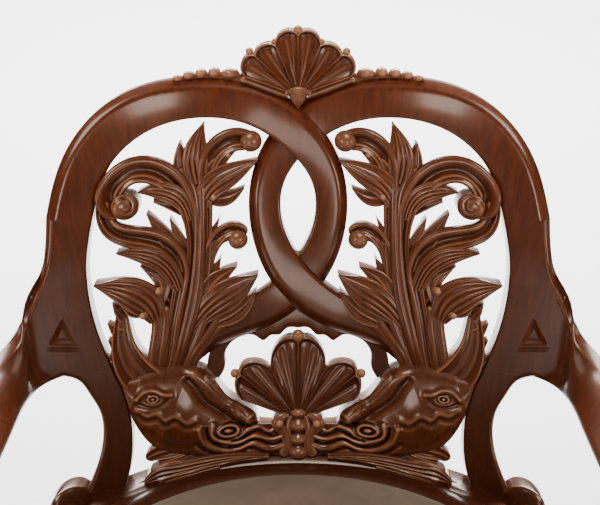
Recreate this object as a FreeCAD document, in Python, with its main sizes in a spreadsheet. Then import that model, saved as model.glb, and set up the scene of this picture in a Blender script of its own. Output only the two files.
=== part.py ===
"""Carved armchair with a horseshoe seat: interlaced arch back, acanthus scrolls, dolphins and shells.

Frame: +Z up, the sitter faces -Y, the origin is on the floor under the middle of the chair.
The back is built flat on its own drawing board: x across, w up the slope from the seat rails,
then sawn from one curved slab and leaned back. Left is the -X side, and the right is its mirror.
"""
import math
import os

import FreeCAD
import Part
import Sketcher
from FreeCAD import Placement, Rotation, Vector

doc = FreeCAD.newDocument("carved_armchair")
sheet = doc.addObject("Spreadsheet::Sheet", "Sizes")

SIZES = (
    ("seat_height", 445.0, "floor to the top of the seat rails"),
    ("rail_depth", 60.0, "height of the seat rails"),
    ("rail_radius", 308.0, "outside of the rear seat rail"),
    ("opening_radius", 238.0, "inside of the rim round the slip seat"),
    ("ledge_width", 14.0, "ledge that the slip seat rests on"),
    ("rebate_depth", 18.0, "rim top down to the ledge"),
    ("front_reach", 200.0, "seat circle's centre to the front posts"),
    ("post_size", 62.0, "square post at the head of a front leg"),
    ("front_bow", 18.0, "how far the front rail bows past the posts"),
    ("bow_radius", 1400.0, "curve of the front rail"),
    ("scarf_angle", 52.0, "rear rail's ends, from straight back"),
    ("seat_centre_y", -72.5, "seat circle's centre along the chair"),
    ("back_setting", 274.0, "seat circle's centre to the face of the back"),
    ("back_bend", 335.0, "radius of the back in plan"),
    ("back_rake", 12.0, "lean of the back, in degrees"),
    ("back_thickness", 25.0, "arches and uprights, face to rear"),
    ("scroll_setback", 3.0, "scrollwork's face behind the arches"),
    ("scroll_thickness", 20.0, "acanthus scrollwork"),
    ("relief", 9.0, "how far dolphins and shells stand forward"),
    ("arm_thickness", 28.0, "arm, square to its face"),
    ("arm_half_width", 333.0, "chair's middle to the outside of an arm"),
    ("arm_height", 188.0, "seat rails to the top of an arm"),
    ("rear_leg_angle", 35.0, "rear leg, from straight back"),
    ("rear_leg_splay", 108.0, "how far a rear foot stands behind its head"),
    ("cushion_crown", 24.0, "rise of the slip seat from its front corners to its middle"),
    ("cushion_edge", 8.0, "stuffing at the front corners"),
    ("slip_gap", 1.3, "slip seat to rim, all round"),
    ("cover_thickness", 1.2, "seat cloth"),
    ("slip_thickness", 18.0, "slip seat's frame"),
    ("slip_width", 50.0, "width of the slip seat's rails"),
    ("strap_width", 45.0, "webbing strap"),
    ("strap_thickness", 1.4, "webbing strap"),
    ("dowel_radius", 4.0, "frame dowel"),
    ("dowel_length", 40.0, "frame dowel"),
    ("glue_gap", 0.1, "hole to dowel, on the radius"),
    ("glide_height", 3.0, "glide under each foot"),
    ("glide_radius", 9.0, "glide under each foot"),
    ("screw_radius", 2.2, "corner block screw"),
    ("block_leg", 62.0, "short sides of a corner block"),
    ("block_height", 30.0, "corner block"),
)
for row, (alias, value, note) in enumerate(SIZES, start=1):
    sheet.set(f"A{row}", note)
    sheet.set(f"B{row}", str(value))
    sheet.setAlias(f"B{row}", alias)
doc.recompute()

BIG = 2000.0  # larger than the chair, for cutting blocks


def size(alias):
    """A driving dimension from the sheet, in millimetres or degrees."""
    return float(sheet.get(alias))


def primitive(kind, name, place=None, **cells):
    """A Part primitive whose properties are bound to expressions over the sheet."""
    made = doc.addObject(kind, name)
    for prop, formula in cells.items():
        made.setExpression(prop, formula)
    for axis, formula in (place or {}).items():
        made.setExpression(f"Placement.Base.{axis}", formula)
    return made


def pair(kind, name, base, tool):
    """A cut or a common of two objects of the document."""
    made = doc.addObject(kind, name)
    made.Base = base
    made.Tool = tool
    return made


def union(name, *shapes):
    """A fusion of several objects of the document."""
    made = doc.addObject("Part::MultiFuse", name)
    made.Shapes = list(shapes)
    return made


def feature(name, shape):
    """A carved or swept piece that no primitive or pad can make, where its shape lies."""
    made = doc.addObject("Part::Feature", name)
    made.Shape = shape
    return made


def mirror_of(name, source):
    """The right-hand twin of a left-hand piece."""
    made = doc.addObject("Part::Mirroring", name)
    made.Source = source
    made.Normal = Vector(1, 0, 0)
    return made


# --- seat: horseshoe plates that the rails and the slip seat are cut from --------------------


def horseshoe(name, radius, front, low, height, front_half=None):
    """A plate: a half disc at the rear, and sides that run forward to `front_half` off the middle."""
    disc = primitive(
        "Part::Cylinder", name + "_disc", {"y": "Sizes.seat_centre_y", "z": low}, Radius=radius, Height=height
    )
    disc.Angle = 180
    block = primitive(
        "Part::Wedge",
        name + "_block",
        {"y": "Sizes.seat_centre_y", "z": low},
        Xmin=f"-({front_half or radius})",
        Xmax=front_half or radius,
        X2min=f"-({radius})",
        X2max=radius,
        Ymin=f"-({front})",
        Zmax=height,
        Z2max=height,
    )
    block.Ymax = 0
    block.Zmin = 0
    block.Z2min = 0
    return union(name, disc, block)


RAIL_LOW = "Sizes.seat_height - Sizes.rail_depth"
LEDGE = "Sizes.seat_height - Sizes.rebate_depth"
POST_BACK = "Sizes.front_reach - Sizes.post_size / 2"
OPENING_FRONT = f"{POST_BACK} + Sizes.ledge_width"

POST_OUT = "Sizes.opening_radius + Sizes.post_size"
rail_blank = horseshoe("rail_blank", "Sizes.rail_radius", POST_BACK, RAIL_LOW, "Sizes.rail_depth", POST_OUT)
well_low = horseshoe(
    "well_low", "Sizes.opening_radius - Sizes.ledge_width", POST_BACK, RAIL_LOW, "Sizes.rail_depth"
)
well_high = horseshoe("well_high", "Sizes.opening_radius", OPENING_FRONT, LEDGE, "Sizes.rebate_depth")
seat_well = union("seat_well", well_low, well_high)
rail_ring = pair("Part::Cut", "rail_ring", rail_blank, seat_well)

rear_wedge = primitive(
    "Part::Cylinder",
    "rear_wedge",
    {"y": "Sizes.seat_centre_y"},
    Radius="2 * Sizes.rail_radius",
    Height="2 * Sizes.seat_height",
    Angle="2 * Sizes.scarf_angle",
)
rear_wedge.setExpression("Placement.Rotation.Angle", "90 - Sizes.scarf_angle")
left_half = primitive(
    "Part::Box",
    "left_half",
    {"x": "-2 * Sizes.rail_radius", "y": "-2 * Sizes.rail_radius"},
    Length="2 * Sizes.rail_radius",
    Width="4 * Sizes.rail_radius",
    Height="2 * Sizes.seat_height",
)
rail_back = pair("Part::Common", "rail_back_blank", rail_ring, rear_wedge)
rail_sides = pair("Part::Cut", "rail_sides", rail_ring, rear_wedge)
rail_left = pair("Part::Common", "rail_left_blank", rail_sides, left_half)

POST_FRONT = "Sizes.seat_centre_y - Sizes.front_reach - Sizes.post_size / 2"
FRONT_EDGE = f"{POST_FRONT} - Sizes.front_bow"
front_blank = primitive(
    "Part::Box",
    "front_blank",
    {"x": "-Sizes.opening_radius", "y": FRONT_EDGE, "z": RAIL_LOW},
    Length="2 * Sizes.opening_radius",
    Width="Sizes.post_size + Sizes.front_bow",
    Height="Sizes.rail_depth",
)
front_curve = primitive(
    "Part::Cylinder",
    "front_curve",
    {"y": f"{FRONT_EDGE} + Sizes.bow_radius", "z": RAIL_LOW},
    Radius="Sizes.bow_radius",
    Height="Sizes.rail_depth",
)
front_bowed = pair("Part::Common", "front_bowed", front_blank, front_curve)
rail_front = pair("Part::Cut", "rail_front_blank", front_bowed, seat_well)

# --- slip seat: four rails, webbing, stuffing, cloth and a dust cover -------------------------

CLOTH_RADIUS = "Sizes.opening_radius - Sizes.slip_gap"
FRAME_RADIUS = f"{CLOTH_RADIUS} - Sizes.cover_thickness"
CLOTH_FRONT = f"{OPENING_FRONT} - Sizes.slip_gap"
FRAME_FRONT = f"{CLOTH_FRONT} - Sizes.cover_thickness"
FRAME_TOP = f"{LEDGE} + Sizes.slip_thickness"
PAD_LOW = f"{FRAME_TOP} + 2 * Sizes.strap_thickness"
CORNER_SQUARED = f"(Sizes.opening_radius * Sizes.opening_radius + ({OPENING_FRONT}) * ({OPENING_FRONT}))"
CROWN_RADIUS = f"({CORNER_SQUARED} / Sizes.cushion_crown + Sizes.cushion_crown) / 2"
CROWN_TOP = f"{PAD_LOW} + Sizes.cushion_edge + Sizes.cushion_crown"

slip_blank = horseshoe("slip_blank", FRAME_RADIUS, FRAME_FRONT, LEDGE, "Sizes.slip_thickness")
slip_hole = horseshoe(
    "slip_hole",
    f"{FRAME_RADIUS} - Sizes.slip_width",
    f"{FRAME_FRONT} - Sizes.slip_width",
    LEDGE,
    "Sizes.slip_thickness",
)
slip_ring = pair("Part::Cut", "slip_ring", slip_blank, slip_hole)
SLIP_FRONT_INNER = f"Sizes.seat_centre_y - ({FRAME_FRONT}) + Sizes.slip_width"
front_block = primitive(
    "Part::Box",
    "front_block",
    {"x": "-2 * Sizes.rail_radius", "y": f"{SLIP_FRONT_INNER} - 4 * Sizes.rail_radius"},
    Length="4 * Sizes.rail_radius",
    Width="4 * Sizes.rail_radius",
    Height="2 * Sizes.seat_height",
)
slip_back = pair("Part::Common", "slip_back", slip_ring, rear_wedge)
slip_rest = pair("Part::Cut", "slip_rest", slip_ring, rear_wedge)
slip_front = pair("Part::Common", "slip_front", slip_rest, front_block)
slip_sides = pair("Part::Cut", "slip_sides", slip_rest, front_block)
slip_left = pair("Part::Common", "slip_left", slip_sides, left_half)
slip_right = pair("Part::Cut", "slip_right", slip_sides, left_half)

crown_inner = primitive(
    "Part::Sphere",
    "crown_inner",
    {"y": "Sizes.seat_centre_y", "z": f"{CROWN_TOP} - ({CROWN_RADIUS})"},
    Radius=CROWN_RADIUS,
)
crown_outer = primitive(
    "Part::Sphere",
    "crown_outer",
    {"y": "Sizes.seat_centre_y", "z": f"{CROWN_TOP} - ({CROWN_RADIUS})"},
    Radius=f"{CROWN_RADIUS} + Sizes.cover_thickness",
)
pad_blank = horseshoe("pad_blank", FRAME_RADIUS, FRAME_FRONT, PAD_LOW, "60")
stuffing = pair("Part::Common", "stuffing", pad_blank, crown_inner)
cloth_blank = horseshoe("cloth_blank", CLOTH_RADIUS, CLOTH_FRONT, LEDGE, "80")
cloth_solid = pair("Part::Common", "cloth_solid", cloth_blank, crown_outer)
under_blank = horseshoe("under_blank", FRAME_RADIUS, FRAME_FRONT, LEDGE, "80")
under_solid = pair("Part::Common", "under_solid", under_blank, crown_inner)
seat_cover = pair("Part::Cut", "cloth", cloth_solid, under_solid)
dust_cover = horseshoe(
    "dust_cloth",
    "Sizes.opening_radius - Sizes.ledge_width - 2 * Sizes.slip_gap",
    f"{POST_BACK} - 2 * Sizes.slip_gap",
    f"{LEDGE} - Sizes.cover_thickness",
    "Sizes.cover_thickness",
)

STRAPS = (-1, 0, 1)
strap_pitch = "(Sizes.opening_radius - Sizes.slip_width) / 1.9"
straps = []
for step in STRAPS:
    straps.append(
        primitive(
            "Part::Box",
            f"strap_long_{step + 1}",
            {
                "x": f"{step} * {strap_pitch} - Sizes.strap_width / 2",
                "y": f"Sizes.seat_centre_y - ({FRAME_FRONT}) + 12",
                "z": FRAME_TOP,
            },
            Length="Sizes.strap_width",
            Width=f"{FRAME_FRONT} + Sizes.opening_radius - 62",
            Height="Sizes.strap_thickness",
        )
    )
    straps.append(
        primitive(
            "Part::Box",
            f"strap_cross_{step + 1}",
            {
                "x": "-Sizes.opening_radius + 30",
                "y": f"Sizes.seat_centre_y - 20 + {step} * {strap_pitch} - Sizes.strap_width / 2",
                "z": f"{FRAME_TOP} + Sizes.strap_thickness",
            },
            Length="2 * Sizes.opening_radius - 60",
            Width="Sizes.strap_width",
            Height="Sizes.strap_thickness",
        )
    )
webbing = doc.addObject("Part::Compound", "strap_set")
webbing.Links = straps
doc.recompute()

# --- back: drawing board, slab and joints ----------------------------------------------------

bend = size("back_bend")
rake = size("back_rake")
thick = size("back_thickness")
seat_height = size("seat_height")
face_y = size("seat_centre_y") + size("back_setting")
lean = Placement(Vector(0, face_y, seat_height), Rotation(Vector(1, 0, 0), -rake))
rail_plane = Part.makeBox(BIG, BIG, BIG, Vector(-BIG / 2, -BIG / 2, seat_height - BIG))


def spline(points):
    """A smooth curve through points of the drawing board, or a straight line through two."""
    at = [Vector(p[0], 0, p[1]) for p in points]
    if len(at) == 2:
        return Part.LineSegment(*at)
    curve = Part.BSplineCurve()
    curve.interpolate(at)
    return curve


def prism(edges):
    """The flat outline that the edges close, drawn out through the whole back."""
    face = Part.Face(Part.Wire(Part.__sortEdges__(edges)))
    face.translate(Vector(0, -bend, 0))
    return face.extrude(Vector(0, bend + 80, 0))


def outline(*runs):
    """A closed outline of smooth runs that meet at corners, as a prism."""
    return prism([spline(run).toShape() for run in runs])


def blade(path, halves, samples=4):
    """A leaf, stem or band: a smooth path with a half-width at each of its points."""
    middle = spline(path)
    first, last = middle.FirstParameter, middle.LastParameter
    knots = [middle.parameter(Vector(p[0], 0, p[1])) for p in path]
    left, right = [], []
    count = samples * (len(path) - 1)
    for i in range(count + 1):
        t = first + (last - first) * i / count
        span = max(k for k in range(len(knots) - 1) if knots[k] <= t + 1e-9)
        share = (t - knots[span]) / (knots[span + 1] - knots[span])
        half = halves[span] + (halves[span + 1] - halves[span]) * share
        at = middle.value(t)
        along = middle.tangent(t)[0]
        across = Vector(-along.z, 0, along.x)
        left.append(at + across * half)
        right.append(at - across * half)
    sides = []
    for side in (left, right):
        curve = Part.BSplineCurve()
        curve.interpolate(side)
        sides.append(curve.toShape())
    caps = [Part.LineSegment(left[0], right[0]).toShape()]
    if halves[-1] > 0:
        tip = middle.value(last) + middle.tangent(last)[0] * halves[-1]
        caps.append(Part.Arc(left[-1], tip, right[-1]).toShape())
    return prism(sides + caps)


def ball(x, w, radius):
    """A round boss on the drawing board, drawn out through the whole back."""
    return Part.makeCylinder(radius, bend + 80, Vector(x, -bend, w), Vector(0, 1, 0))


def slab(front, back, low=-60.0, high=600.0):
    """The curved blank: from `front` ahead of the back's face to `back` behind it."""
    centre = Vector(0, -bend, low)
    wall = Part.makeCylinder(bend + back, high - low, centre)
    wall = wall.cut(Part.makeCylinder(bend - front, high - low, centre))
    return wall.common(Part.makeBox(BIG, BIG, BIG, Vector(-BIG / 2, -bend, -BIG / 2)))


def fused(shapes):
    """One shape from several that overlap."""
    first, *others = shapes
    return first.multiFuse(others).removeSplitter() if others else first


def mirrored(shape):
    """The right-hand copy of a left-hand piece."""
    return shape.mirror(Vector(0, 0, 0), Vector(1, 0, 0))


def sawn(shape, front, back, away=()):
    """A prism sawn from the curved blank, with its neighbours cut away."""
    made = shape.common(slab(front, back))
    for other in away:
        made = made.cut(other)
    return max(made.Solids, key=lambda s: s.Volume)


def leaned(shape, keep_above_rails=True):
    """A piece of the drawing board set on the chair, and trimmed where it lands on the seat rails."""
    made = shape.copy()
    made.Placement = lean.multiply(made.Placement)
    return made.cut(rail_plane) if keep_above_rails else made


# Interlaced arches. Each runs from its upright over the top, down past the middle and into a dolphin.
ARCH_PATH = (
    (-229, 283), (-212, 340), (-190, 368), (-161, 386), (-101, 396), (-42, 386), (3, 356),
    (31, 311), (31, 251), (5, 201), (-36, 168), (-86, 145), (-119, 117),
)
ARCH_HALVES = (21.5, 22.5, 23.5, 23, 20.5, 21.5, 21, 17.5, 17.5, 20.5, 19.5, 14.5, 12)
arch_prism = blade(ARCH_PATH, ARCH_HALVES)
half_lap = thick / 2
lap_high = Part.makeBox(BIG, BIG, 120, Vector(-BIG / 2, -BIG / 2, 330))
lap_low = Part.makeBox(BIG, BIG, 120, Vector(-BIG / 2, -BIG / 2, 130))
crossing = arch_prism.common(mirrored(arch_prism))
front_layer = slab(0, half_lap)
rear_layer = slab(-half_lap, thick)
upper_crossing = crossing.common(lap_high)
lower_crossing = crossing.common(lap_low)
lap_left = fused([upper_crossing.common(rear_layer), lower_crossing.common(front_layer)])
lap_right = fused([upper_crossing.common(front_layer), lower_crossing.common(rear_layer)])
arch_left = sawn(arch_prism, 0, thick, [lap_left])
arch_right = sawn(mirrored(arch_prism), 0, thick, [lap_right, arch_left])
both_arches = [arch_prism, mirrored(arch_prism)]

# Uprights: from the joint under each arch, past the arm, down to the seat rail.
ARCH_FOOT = 283
UPRIGHT_TOP = 288
UPRIGHT_IN = (
    (-208, UPRIGHT_TOP), (-212, 262), (-214, 234), (-212, 198), (-203, 154), (-191, 119),
    (-179, 85), (-174, 51), (-174, 29), (-177, 7), (-184, -14), (-190, -30),
)
UPRIGHT_OUT = ((-250, UPRIGHT_TOP), (-252, 262), (-257, 232), (-266, 205))
UPRIGHT_ARM = ((-266, 205), (-262, 165), (-250, 130), (-234, 118))
UPRIGHT_CURL = ((-234, 118), (-218, 99), (-208, 69), (-203, 41), (-206, 18), (-216, -4), (-226, -30))
UPRIGHT_HEAD = (UPRIGHT_IN[0], UPRIGHT_OUT[0])
UPRIGHT_SOLE = (UPRIGHT_IN[-1], UPRIGHT_CURL[-1])
upright_prism = outline(UPRIGHT_IN, UPRIGHT_OUT, UPRIGHT_ARM, UPRIGHT_CURL, UPRIGHT_HEAD, UPRIGHT_SOLE)
volute_at = (-234, -13)
volute_radius = 19.0


def volute_disc(front, back):
    """The round scroll at the foot of an upright, square to the curved back."""
    x, w = volute_at
    turn = math.asin(x / bend)
    outward = Vector(math.sin(turn), math.cos(turn), 0)
    at = Vector(0, -bend, w) + outward * (bend - front)
    return Part.makeCylinder(volute_radius, front + back, at, outward)


volute_left = volute_disc(6, thick)
upright_left = sawn(upright_prism, 0, thick, [volute_left, arch_prism])

# --- back: carving --------------------------------------------------------------------------

relief = size("relief")
# Lobes of the left half: angles from upright where each starts and ends, radii there, and its bulge.
SHELL_ROOT = (0, 48)
SHELL_LOBES = ((0, 27, 84, 60, 16), (27, 50, 60, 80, 13), (50, 69, 80, 64, 7))
SHELL_BEADS = ((-66, 100, 5.5), (66, 100, 5.5), (0, 140, 7))
CREST_ROOT = (0, 397)
CREST_LOBES = ((0, 23.9, 62, 57, 9.5), (23.9, 47, 57, 61.5, 6), (47, 70, 61.5, 57, 9.5))
CREST_BEADS = ((0, 465, 4.8), (-50, 443, 4.5), (50, 443, 4.5))
CREST_FOOT = ((-14, 404), (14, 404), (0, 384))


def polar(root, angle, radius):
    """A point of the left half of a fan."""
    turn = math.radians(angle)
    return (root[0] - radius * math.sin(turn), root[1] + radius * math.cos(turn))


def scallop(root, lobes):
    """A shell: one rounded lobe after another about a root, and the same on the other side."""
    runs = []
    for start, end, near, far, bulge in lobes:
        points = []
        for across in (-1.0, -0.8, -0.4, 0.0, 0.4, 0.8, 1.0):
            angle = start + (end - start) * (across + 1) / 2
            radius = near + (far - near) * (across + 1) / 2 + bulge * math.sqrt(1 - across ** 2)
            points.append(polar(root, angle, radius))
        runs.append(points)
    runs.append((runs[-1][-1], root))
    runs.append((root, runs[0][0]))
    half = outline(*runs)
    return [half, mirrored(half)]


lower_fan = fused(scallop(SHELL_ROOT, SHELL_LOBES) + [ball(*bead) for bead in SHELL_BEADS])
foot_edges = [(CREST_FOOT[i], CREST_FOOT[(i + 1) % 3]) for i in range(3)]
crest_beads = [ball(*bead) for bead in CREST_BEADS]
crest_fan = fused(scallop(CREST_ROOT, CREST_LOBES) + crest_beads + [outline(*foot_edges)])
PLINTH_RINGS = ((60, 7), (54, 9.5), (50, 7), (44, 10.5), (38, 10), (33, 7), (26, 10), (19, 7), (9, 11))
PLINTH_CHEEK = ((-12, 51), (-21, 45), (-18, 36), (-14, 26), (-14, 16), (-17, 8))
PLINTH_CHEEK_HALVES = (5, 7, 5.5, 4.5, 4.5, 6)
plinth_edge = [Vector(half, 0, w) for w, half in PLINTH_RINGS]
plinth_curve = Part.BSplineCurve()
plinth_curve.interpolate(plinth_edge)
plinth_top = plinth_edge[0]
plinth_bottom = plinth_edge[-1]
plinth_face = Part.Face(
    Part.Wire(
        [
            plinth_curve.toShape(),
            Part.LineSegment(plinth_bottom, Vector(0, 0, plinth_bottom.z)).toShape(),
            Part.LineSegment(Vector(0, 0, plinth_bottom.z), Vector(0, 0, plinth_top.z)).toShape(),
            Part.LineSegment(Vector(0, 0, plinth_top.z), plinth_top).toShape(),
        ]
    )
)
plinth = plinth_face.revolve(Vector(0, 0, 0), Vector(0, 0, 1), 360)
plinth.translate(Vector(0, 5, 0))
cheek = blade(PLINTH_CHEEK, PLINTH_CHEEK_HALVES)
cheeks = fused([cheek, mirrored(cheek)])
plinth = fused([plinth, cheeks.common(slab(relief / 2, thick / 2))])
plinth_core = outline(((-15, 64), (15, 64)), ((15, 64), (15, 7)), ((15, 7), (-15, 7)), ((-15, 7), (-15, 64)))
plinth_core = fused([plinth_core, cheeks])

lower_shell = sawn(lower_fan, relief / 2, thick - 6, [arch_left, arch_right, plinth_core])
crest_shell = sawn(crest_fan, relief, thick - 2, both_arches)

DOLPHIN_BROW = ((-112, 110), (-97, 103), (-88, 91), (-78, 77), (-57, 68), (-46, 61), (-44, 53), (-49, 46))
DOLPHIN_LIP = ((-49, 46), (-39, 43), (-15, 38))
DOLPHIN_CHIN = ((-15, 7), (-73, 8), (-116, 10), (-146, 20), (-160, 38), (-174, 64), (-180, 90))
DOLPHIN_NECK = ((-180, 90), (-160, 102), (-138, 112), (-112, 110))
FIN_PATH = ((-160, 90), (-173, 121), (-180, 155), (-181, 192))
FIN_HALVES = (14, 11, 8, 0)
FIN_TEETH = (
    ((-178, 185), (-192, 188), (-181, 164)),
    ((-183, 164), (-195, 166), (-182, 140)),
    ((-182, 140), (-194, 142), (-180, 112)),
)
CHEEK_LEAF = ((-126, 20), (-146, 25), (-162, 14))
teeth = [outline((a, b), (b, c), (c, a)) for a, b, c in FIN_TEETH]
dolphin_prism = fused(
    [
        outline(DOLPHIN_BROW, DOLPHIN_LIP, ((-15, 38), (-15, 7)), DOLPHIN_CHIN, DOLPHIN_NECK),
        blade(FIN_PATH, FIN_HALVES),
        blade(CHEEK_LEAF, (6, 7, 0)),
    ]
    + teeth
)
dolphin_left = sawn(dolphin_prism, relief, thick - 4, [arch_left, upright_prism, lower_shell, plinth])

SPANDREL_CUSPS = (
    ((-84, 92), (-78, 108), (-78, 118), (-73, 131)),
    ((-73, 131), (-60, 138), (-45, 137), (-37, 133)),
    ((-37, 133), (-29, 138), (-18, 138)),
    ((-18, 138), (-12, 144), (0, 146)),
)
SPUR = ((-97, 100), (-96, 119), (-88, 134), (-60, 165), (0, 205))
SPUR_FOOT = (SPUR[0], SPANDREL_CUSPS[0][0])
SPANDREL_MIDDLE = (SPUR[-1], SPANDREL_CUSPS[-1][-1])
cusp_prism = outline(*SPANDREL_CUSPS, SPUR, SPUR_FOOT, SPANDREL_MIDDLE)
spandrel_prism = fused([cusp_prism, mirrored(cusp_prism)])

# Acanthus scrollwork: each stroke is a stem or leaf, point by point, with its half-width there.
ACANTHUS = (
    (
        (-137, 116, 18), (-128, 148, 18), (-120, 179, 16), (-113, 206, 14), (-108, 232, 12),
        (-104, 264, 11), (-103, 295, 10), (-103, 320, 10), (-98, 336, 11), (-88, 345, 12),
        (-74, 351, 13), (-58, 353, 12),
    ),
    (
        (-113, 243, 8), (-112, 270, 9), (-120, 298, 12), (-134, 315, 14), (-152, 325, 14),
        (-170, 325, 14), (-184, 315, 13), (-190, 302, 13), (-186, 291, 12),
    ),
    (
        (-118, 195, 9), (-123, 220, 10), (-133, 240, 12), (-151, 252, 13), (-170, 257, 12),
        (-186, 265, 10), (-194, 282, 8),
    ),
    ((-128, 240, 9), (-140, 257, 7), (-156, 279, 0)),
    ((-116, 219, 8), (-122, 245, 6), (-133, 271, 0)),
    ((-112, 270, 7), (-122, 293, 10), (-139, 303, 9), (-163, 304, 0)),
    ((-118, 283, 7), (-131, 290, 7), (-147, 293, 2)),
    ((-104, 316, 8), (-108, 341, 8), (-99, 369, 0)),
    ((-108, 307, 7), (-118, 330, 6), (-121, 352, 0)),
    ((-101, 282, 8), (-93, 302, 12), (-75, 316, 13), (-43, 329, 0)),
    ((-94, 308, 7), (-84, 325, 7), (-67, 338, 0)),
    ((-95, 300, 8), (-77, 293, 8), (-57, 301, 0)),
    ((-106, 210, 7), (-96, 236, 7), (-85, 250, 7), (-71, 257, 6)),
    ((-98, 222, 6), (-92, 247, 5), (-83, 268, 0)),
    ((-128, 124, 10), (-110, 155, 14), (-91, 177, 16), (-69, 191, 15), (-42, 207, 0)),
    ((-106, 174, 10), (-95, 198, 8), (-81, 226, 0)),
    ((-98, 184, 10), (-86, 202, 8), (-65, 216, 0)),
    ((-90, 162, 9), (-69, 168, 8), (-49, 183, 4)),
    ((-122, 198, 8), (-135, 222, 10), (-154, 236, 9), (-184, 242, 0)),
    ((-126, 188, 10), (-139, 211, 11), (-162, 226, 0)),
    (
        (-152, 116, 8), (-148, 148, 8), (-148, 170, 12), (-158, 189, 16), (-176, 201, 13),
        (-206, 212, 0),
    ),
    ((-149, 190, 8), (-144, 202, 7), (-152, 214, 3)),
)
ACANTHUS_BOSSES = ((-49, 350, 11), (-176, 290, 12), (-63, 246, 10.5), (-157, 173, 6), (-135, 210, 6))


def stroke(rows):
    """A blade from rows of x, w and half-width."""
    return blade([row[:2] for row in rows], [row[2] for row in rows])


acanthus_prism = fused([stroke(rows) for rows in ACANTHUS] + [ball(*boss) for boss in ACANTHUS_BOSSES])

SPRAY = ((-60, 11), (-105, 4), (-152, -6))
SHOE_TOP = ((168, -2), (110, 4), (0, 7), (-110, 4), (-168, -2))
SHOE_SOLE = ((-168, -40), (168, -40))
spray_prism = blade(SPRAY, (5, 8, 5))
shoe_prism = outline(
    SHOE_TOP, SHOE_SOLE, (SHOE_TOP[0], SHOE_SOLE[-1]), (SHOE_TOP[-1], SHOE_SOLE[0])
)
both_uprights = [upright_prism, mirrored(upright_prism)]
both_dolphins = [dolphin_prism, mirrored(dolphin_prism)]
both_sprays = [spray_prism, mirrored(spray_prism)]

scroll_face = -size("scroll_setback")
scroll_rear = size("scroll_thickness") + size("scroll_setback")
round_spandrel = [arch_left, arch_right, dolphin_left, mirrored(dolphin_left), lower_shell]
spandrel = sawn(spandrel_prism, scroll_face - 6, scroll_rear - 2, round_spandrel)
round_acanthus = [*both_arches, upright_prism, dolphin_prism]
acanthus_left = sawn(acanthus_prism, scroll_face, scroll_rear, round_acanthus)
spray_left = sawn(spray_prism, relief + 4, thick - 4, [dolphin_prism, plinth_core])
round_shoe = [*both_uprights, *both_sprays, *both_dolphins, plinth_core]
shoe = sawn(shoe_prism, relief + 3, thick, round_shoe)

# Beading: a row of beads that dies away along the top of each arch.
BEAD_STRIP = ((-56, 412), (-75, 417), (-100, 419), (-124, 418))
BEADS = ((-72, 421, 6.5), (-86, 423, 6), (-99, 423, 5.5), (-111, 421.5, 5), (-122, 419, 4))
strip = sawn(blade(BEAD_STRIP, (4, 3, 3, 2)), -6, thick - 8, both_arches + [crest_fan])
bead_depth = bend + thick / 2 - 2
beads = []
for x, w, radius in BEADS:
    turn = math.asin(x / bead_depth)
    beads.append(Part.makeSphere(radius, Vector(x, -bend + bead_depth * math.cos(turn), w)))
beading_left = fused([strip] + beads).cut(arch_prism).cut(crest_fan)

# --- arms and their supports ----------------------------------------------------------------

half_width = size("arm_half_width")
arm_height = size("arm_height")
arm_thickness = size("arm_thickness")
outer_step = half_width - 333.0
# Station: distance ahead of the back's face, inner lower edge (x, z) and outer upper edge (x, z).
ARM_STATIONS = (
    (38, (-246, 112), (-262, 226)),
    (66, (-255, 121), (-278, 208)),
    (107, (-260, 130), (-293 - outer_step / 2, arm_height + 8)),
    (185, (-266, 144), (-317 - outer_step, arm_height + 3)),
    (265, (-270, 156), (-330 - outer_step, arm_height + 1)),
    (350, (-272, 166), (-333 - outer_step, arm_height)),
    (425, (-264, 170), (-324 - outer_step, arm_height - 2)),
    (478, (-254, 164), (-312 - outer_step, arm_height - 8)),
    (500, (-250, 150), (-307 - outer_step, arm_height - 24)),
)
ROUND_STEPS = 16


def oval_wire(centre, half_u, half_v, squareness=3.0):
    """A closed section: a superellipse with the given half-axes as vectors."""
    points = []
    for i in range(ROUND_STEPS):
        a = 2 * math.pi * i / ROUND_STEPS
        c, s = math.cos(a), math.sin(a)
        cu = math.copysign(abs(c) ** (2 / squareness), c)
        sv = math.copysign(abs(s) ** (2 / squareness), s)
        points.append(centre + half_u * cu + half_v * sv)
    curve = Part.BSplineCurve()
    curve.interpolate(points, PeriodicFlag=True)
    return Part.Wire(curve.toShape())


def arm_sections():
    """The arm's sections, each square to its way forward."""
    mids = []
    for ahead, (xi, zi), (xo, zo) in ARM_STATIONS:
        inner = Vector(xi, face_y - ahead, seat_height + zi)
        outer = Vector(xo, face_y - ahead, seat_height + zo)
        mids.append(((inner + outer) / 2, (outer - inner) / 2))
    wires = []
    for i, (centre, half) in enumerate(mids):
        before = mids[max(i - 1, 0)][0]
        after = mids[min(i + 1, len(mids) - 1)][0]
        forward = (after - before).normalize()
        across = (half - forward * half.dot(forward)).normalize() * half.Length
        normal = forward.cross(across).normalize()
        wires.append(oval_wire(centre, across, normal * (arm_thickness / 2), 3.4))
    return wires


arm_solid = Part.makeLoft(arm_sections(), True, False)
arm_solid = arm_solid.cut(leaned(upright_prism.common(slab(0, BIG / 4))))
arm_left = max(arm_solid.Solids, key=lambda s: s.Volume)

post_x = size("opening_radius") + size("post_size") / 2
post_y = size("seat_centre_y") - size("front_reach")
post_half = size("post_size") / 2


def post_stack(stations, squareness):
    """A turned or bent post: stations of (x, y, z, half side to side, half front to back)."""
    wires = []
    for x, y, z, hx, hy in stations:
        wires.append(oval_wire(Vector(x, y, z), Vector(hx, 0, 0), Vector(0, hy, 0), squareness))
    return Part.makeLoft(wires, True, False)


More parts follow.
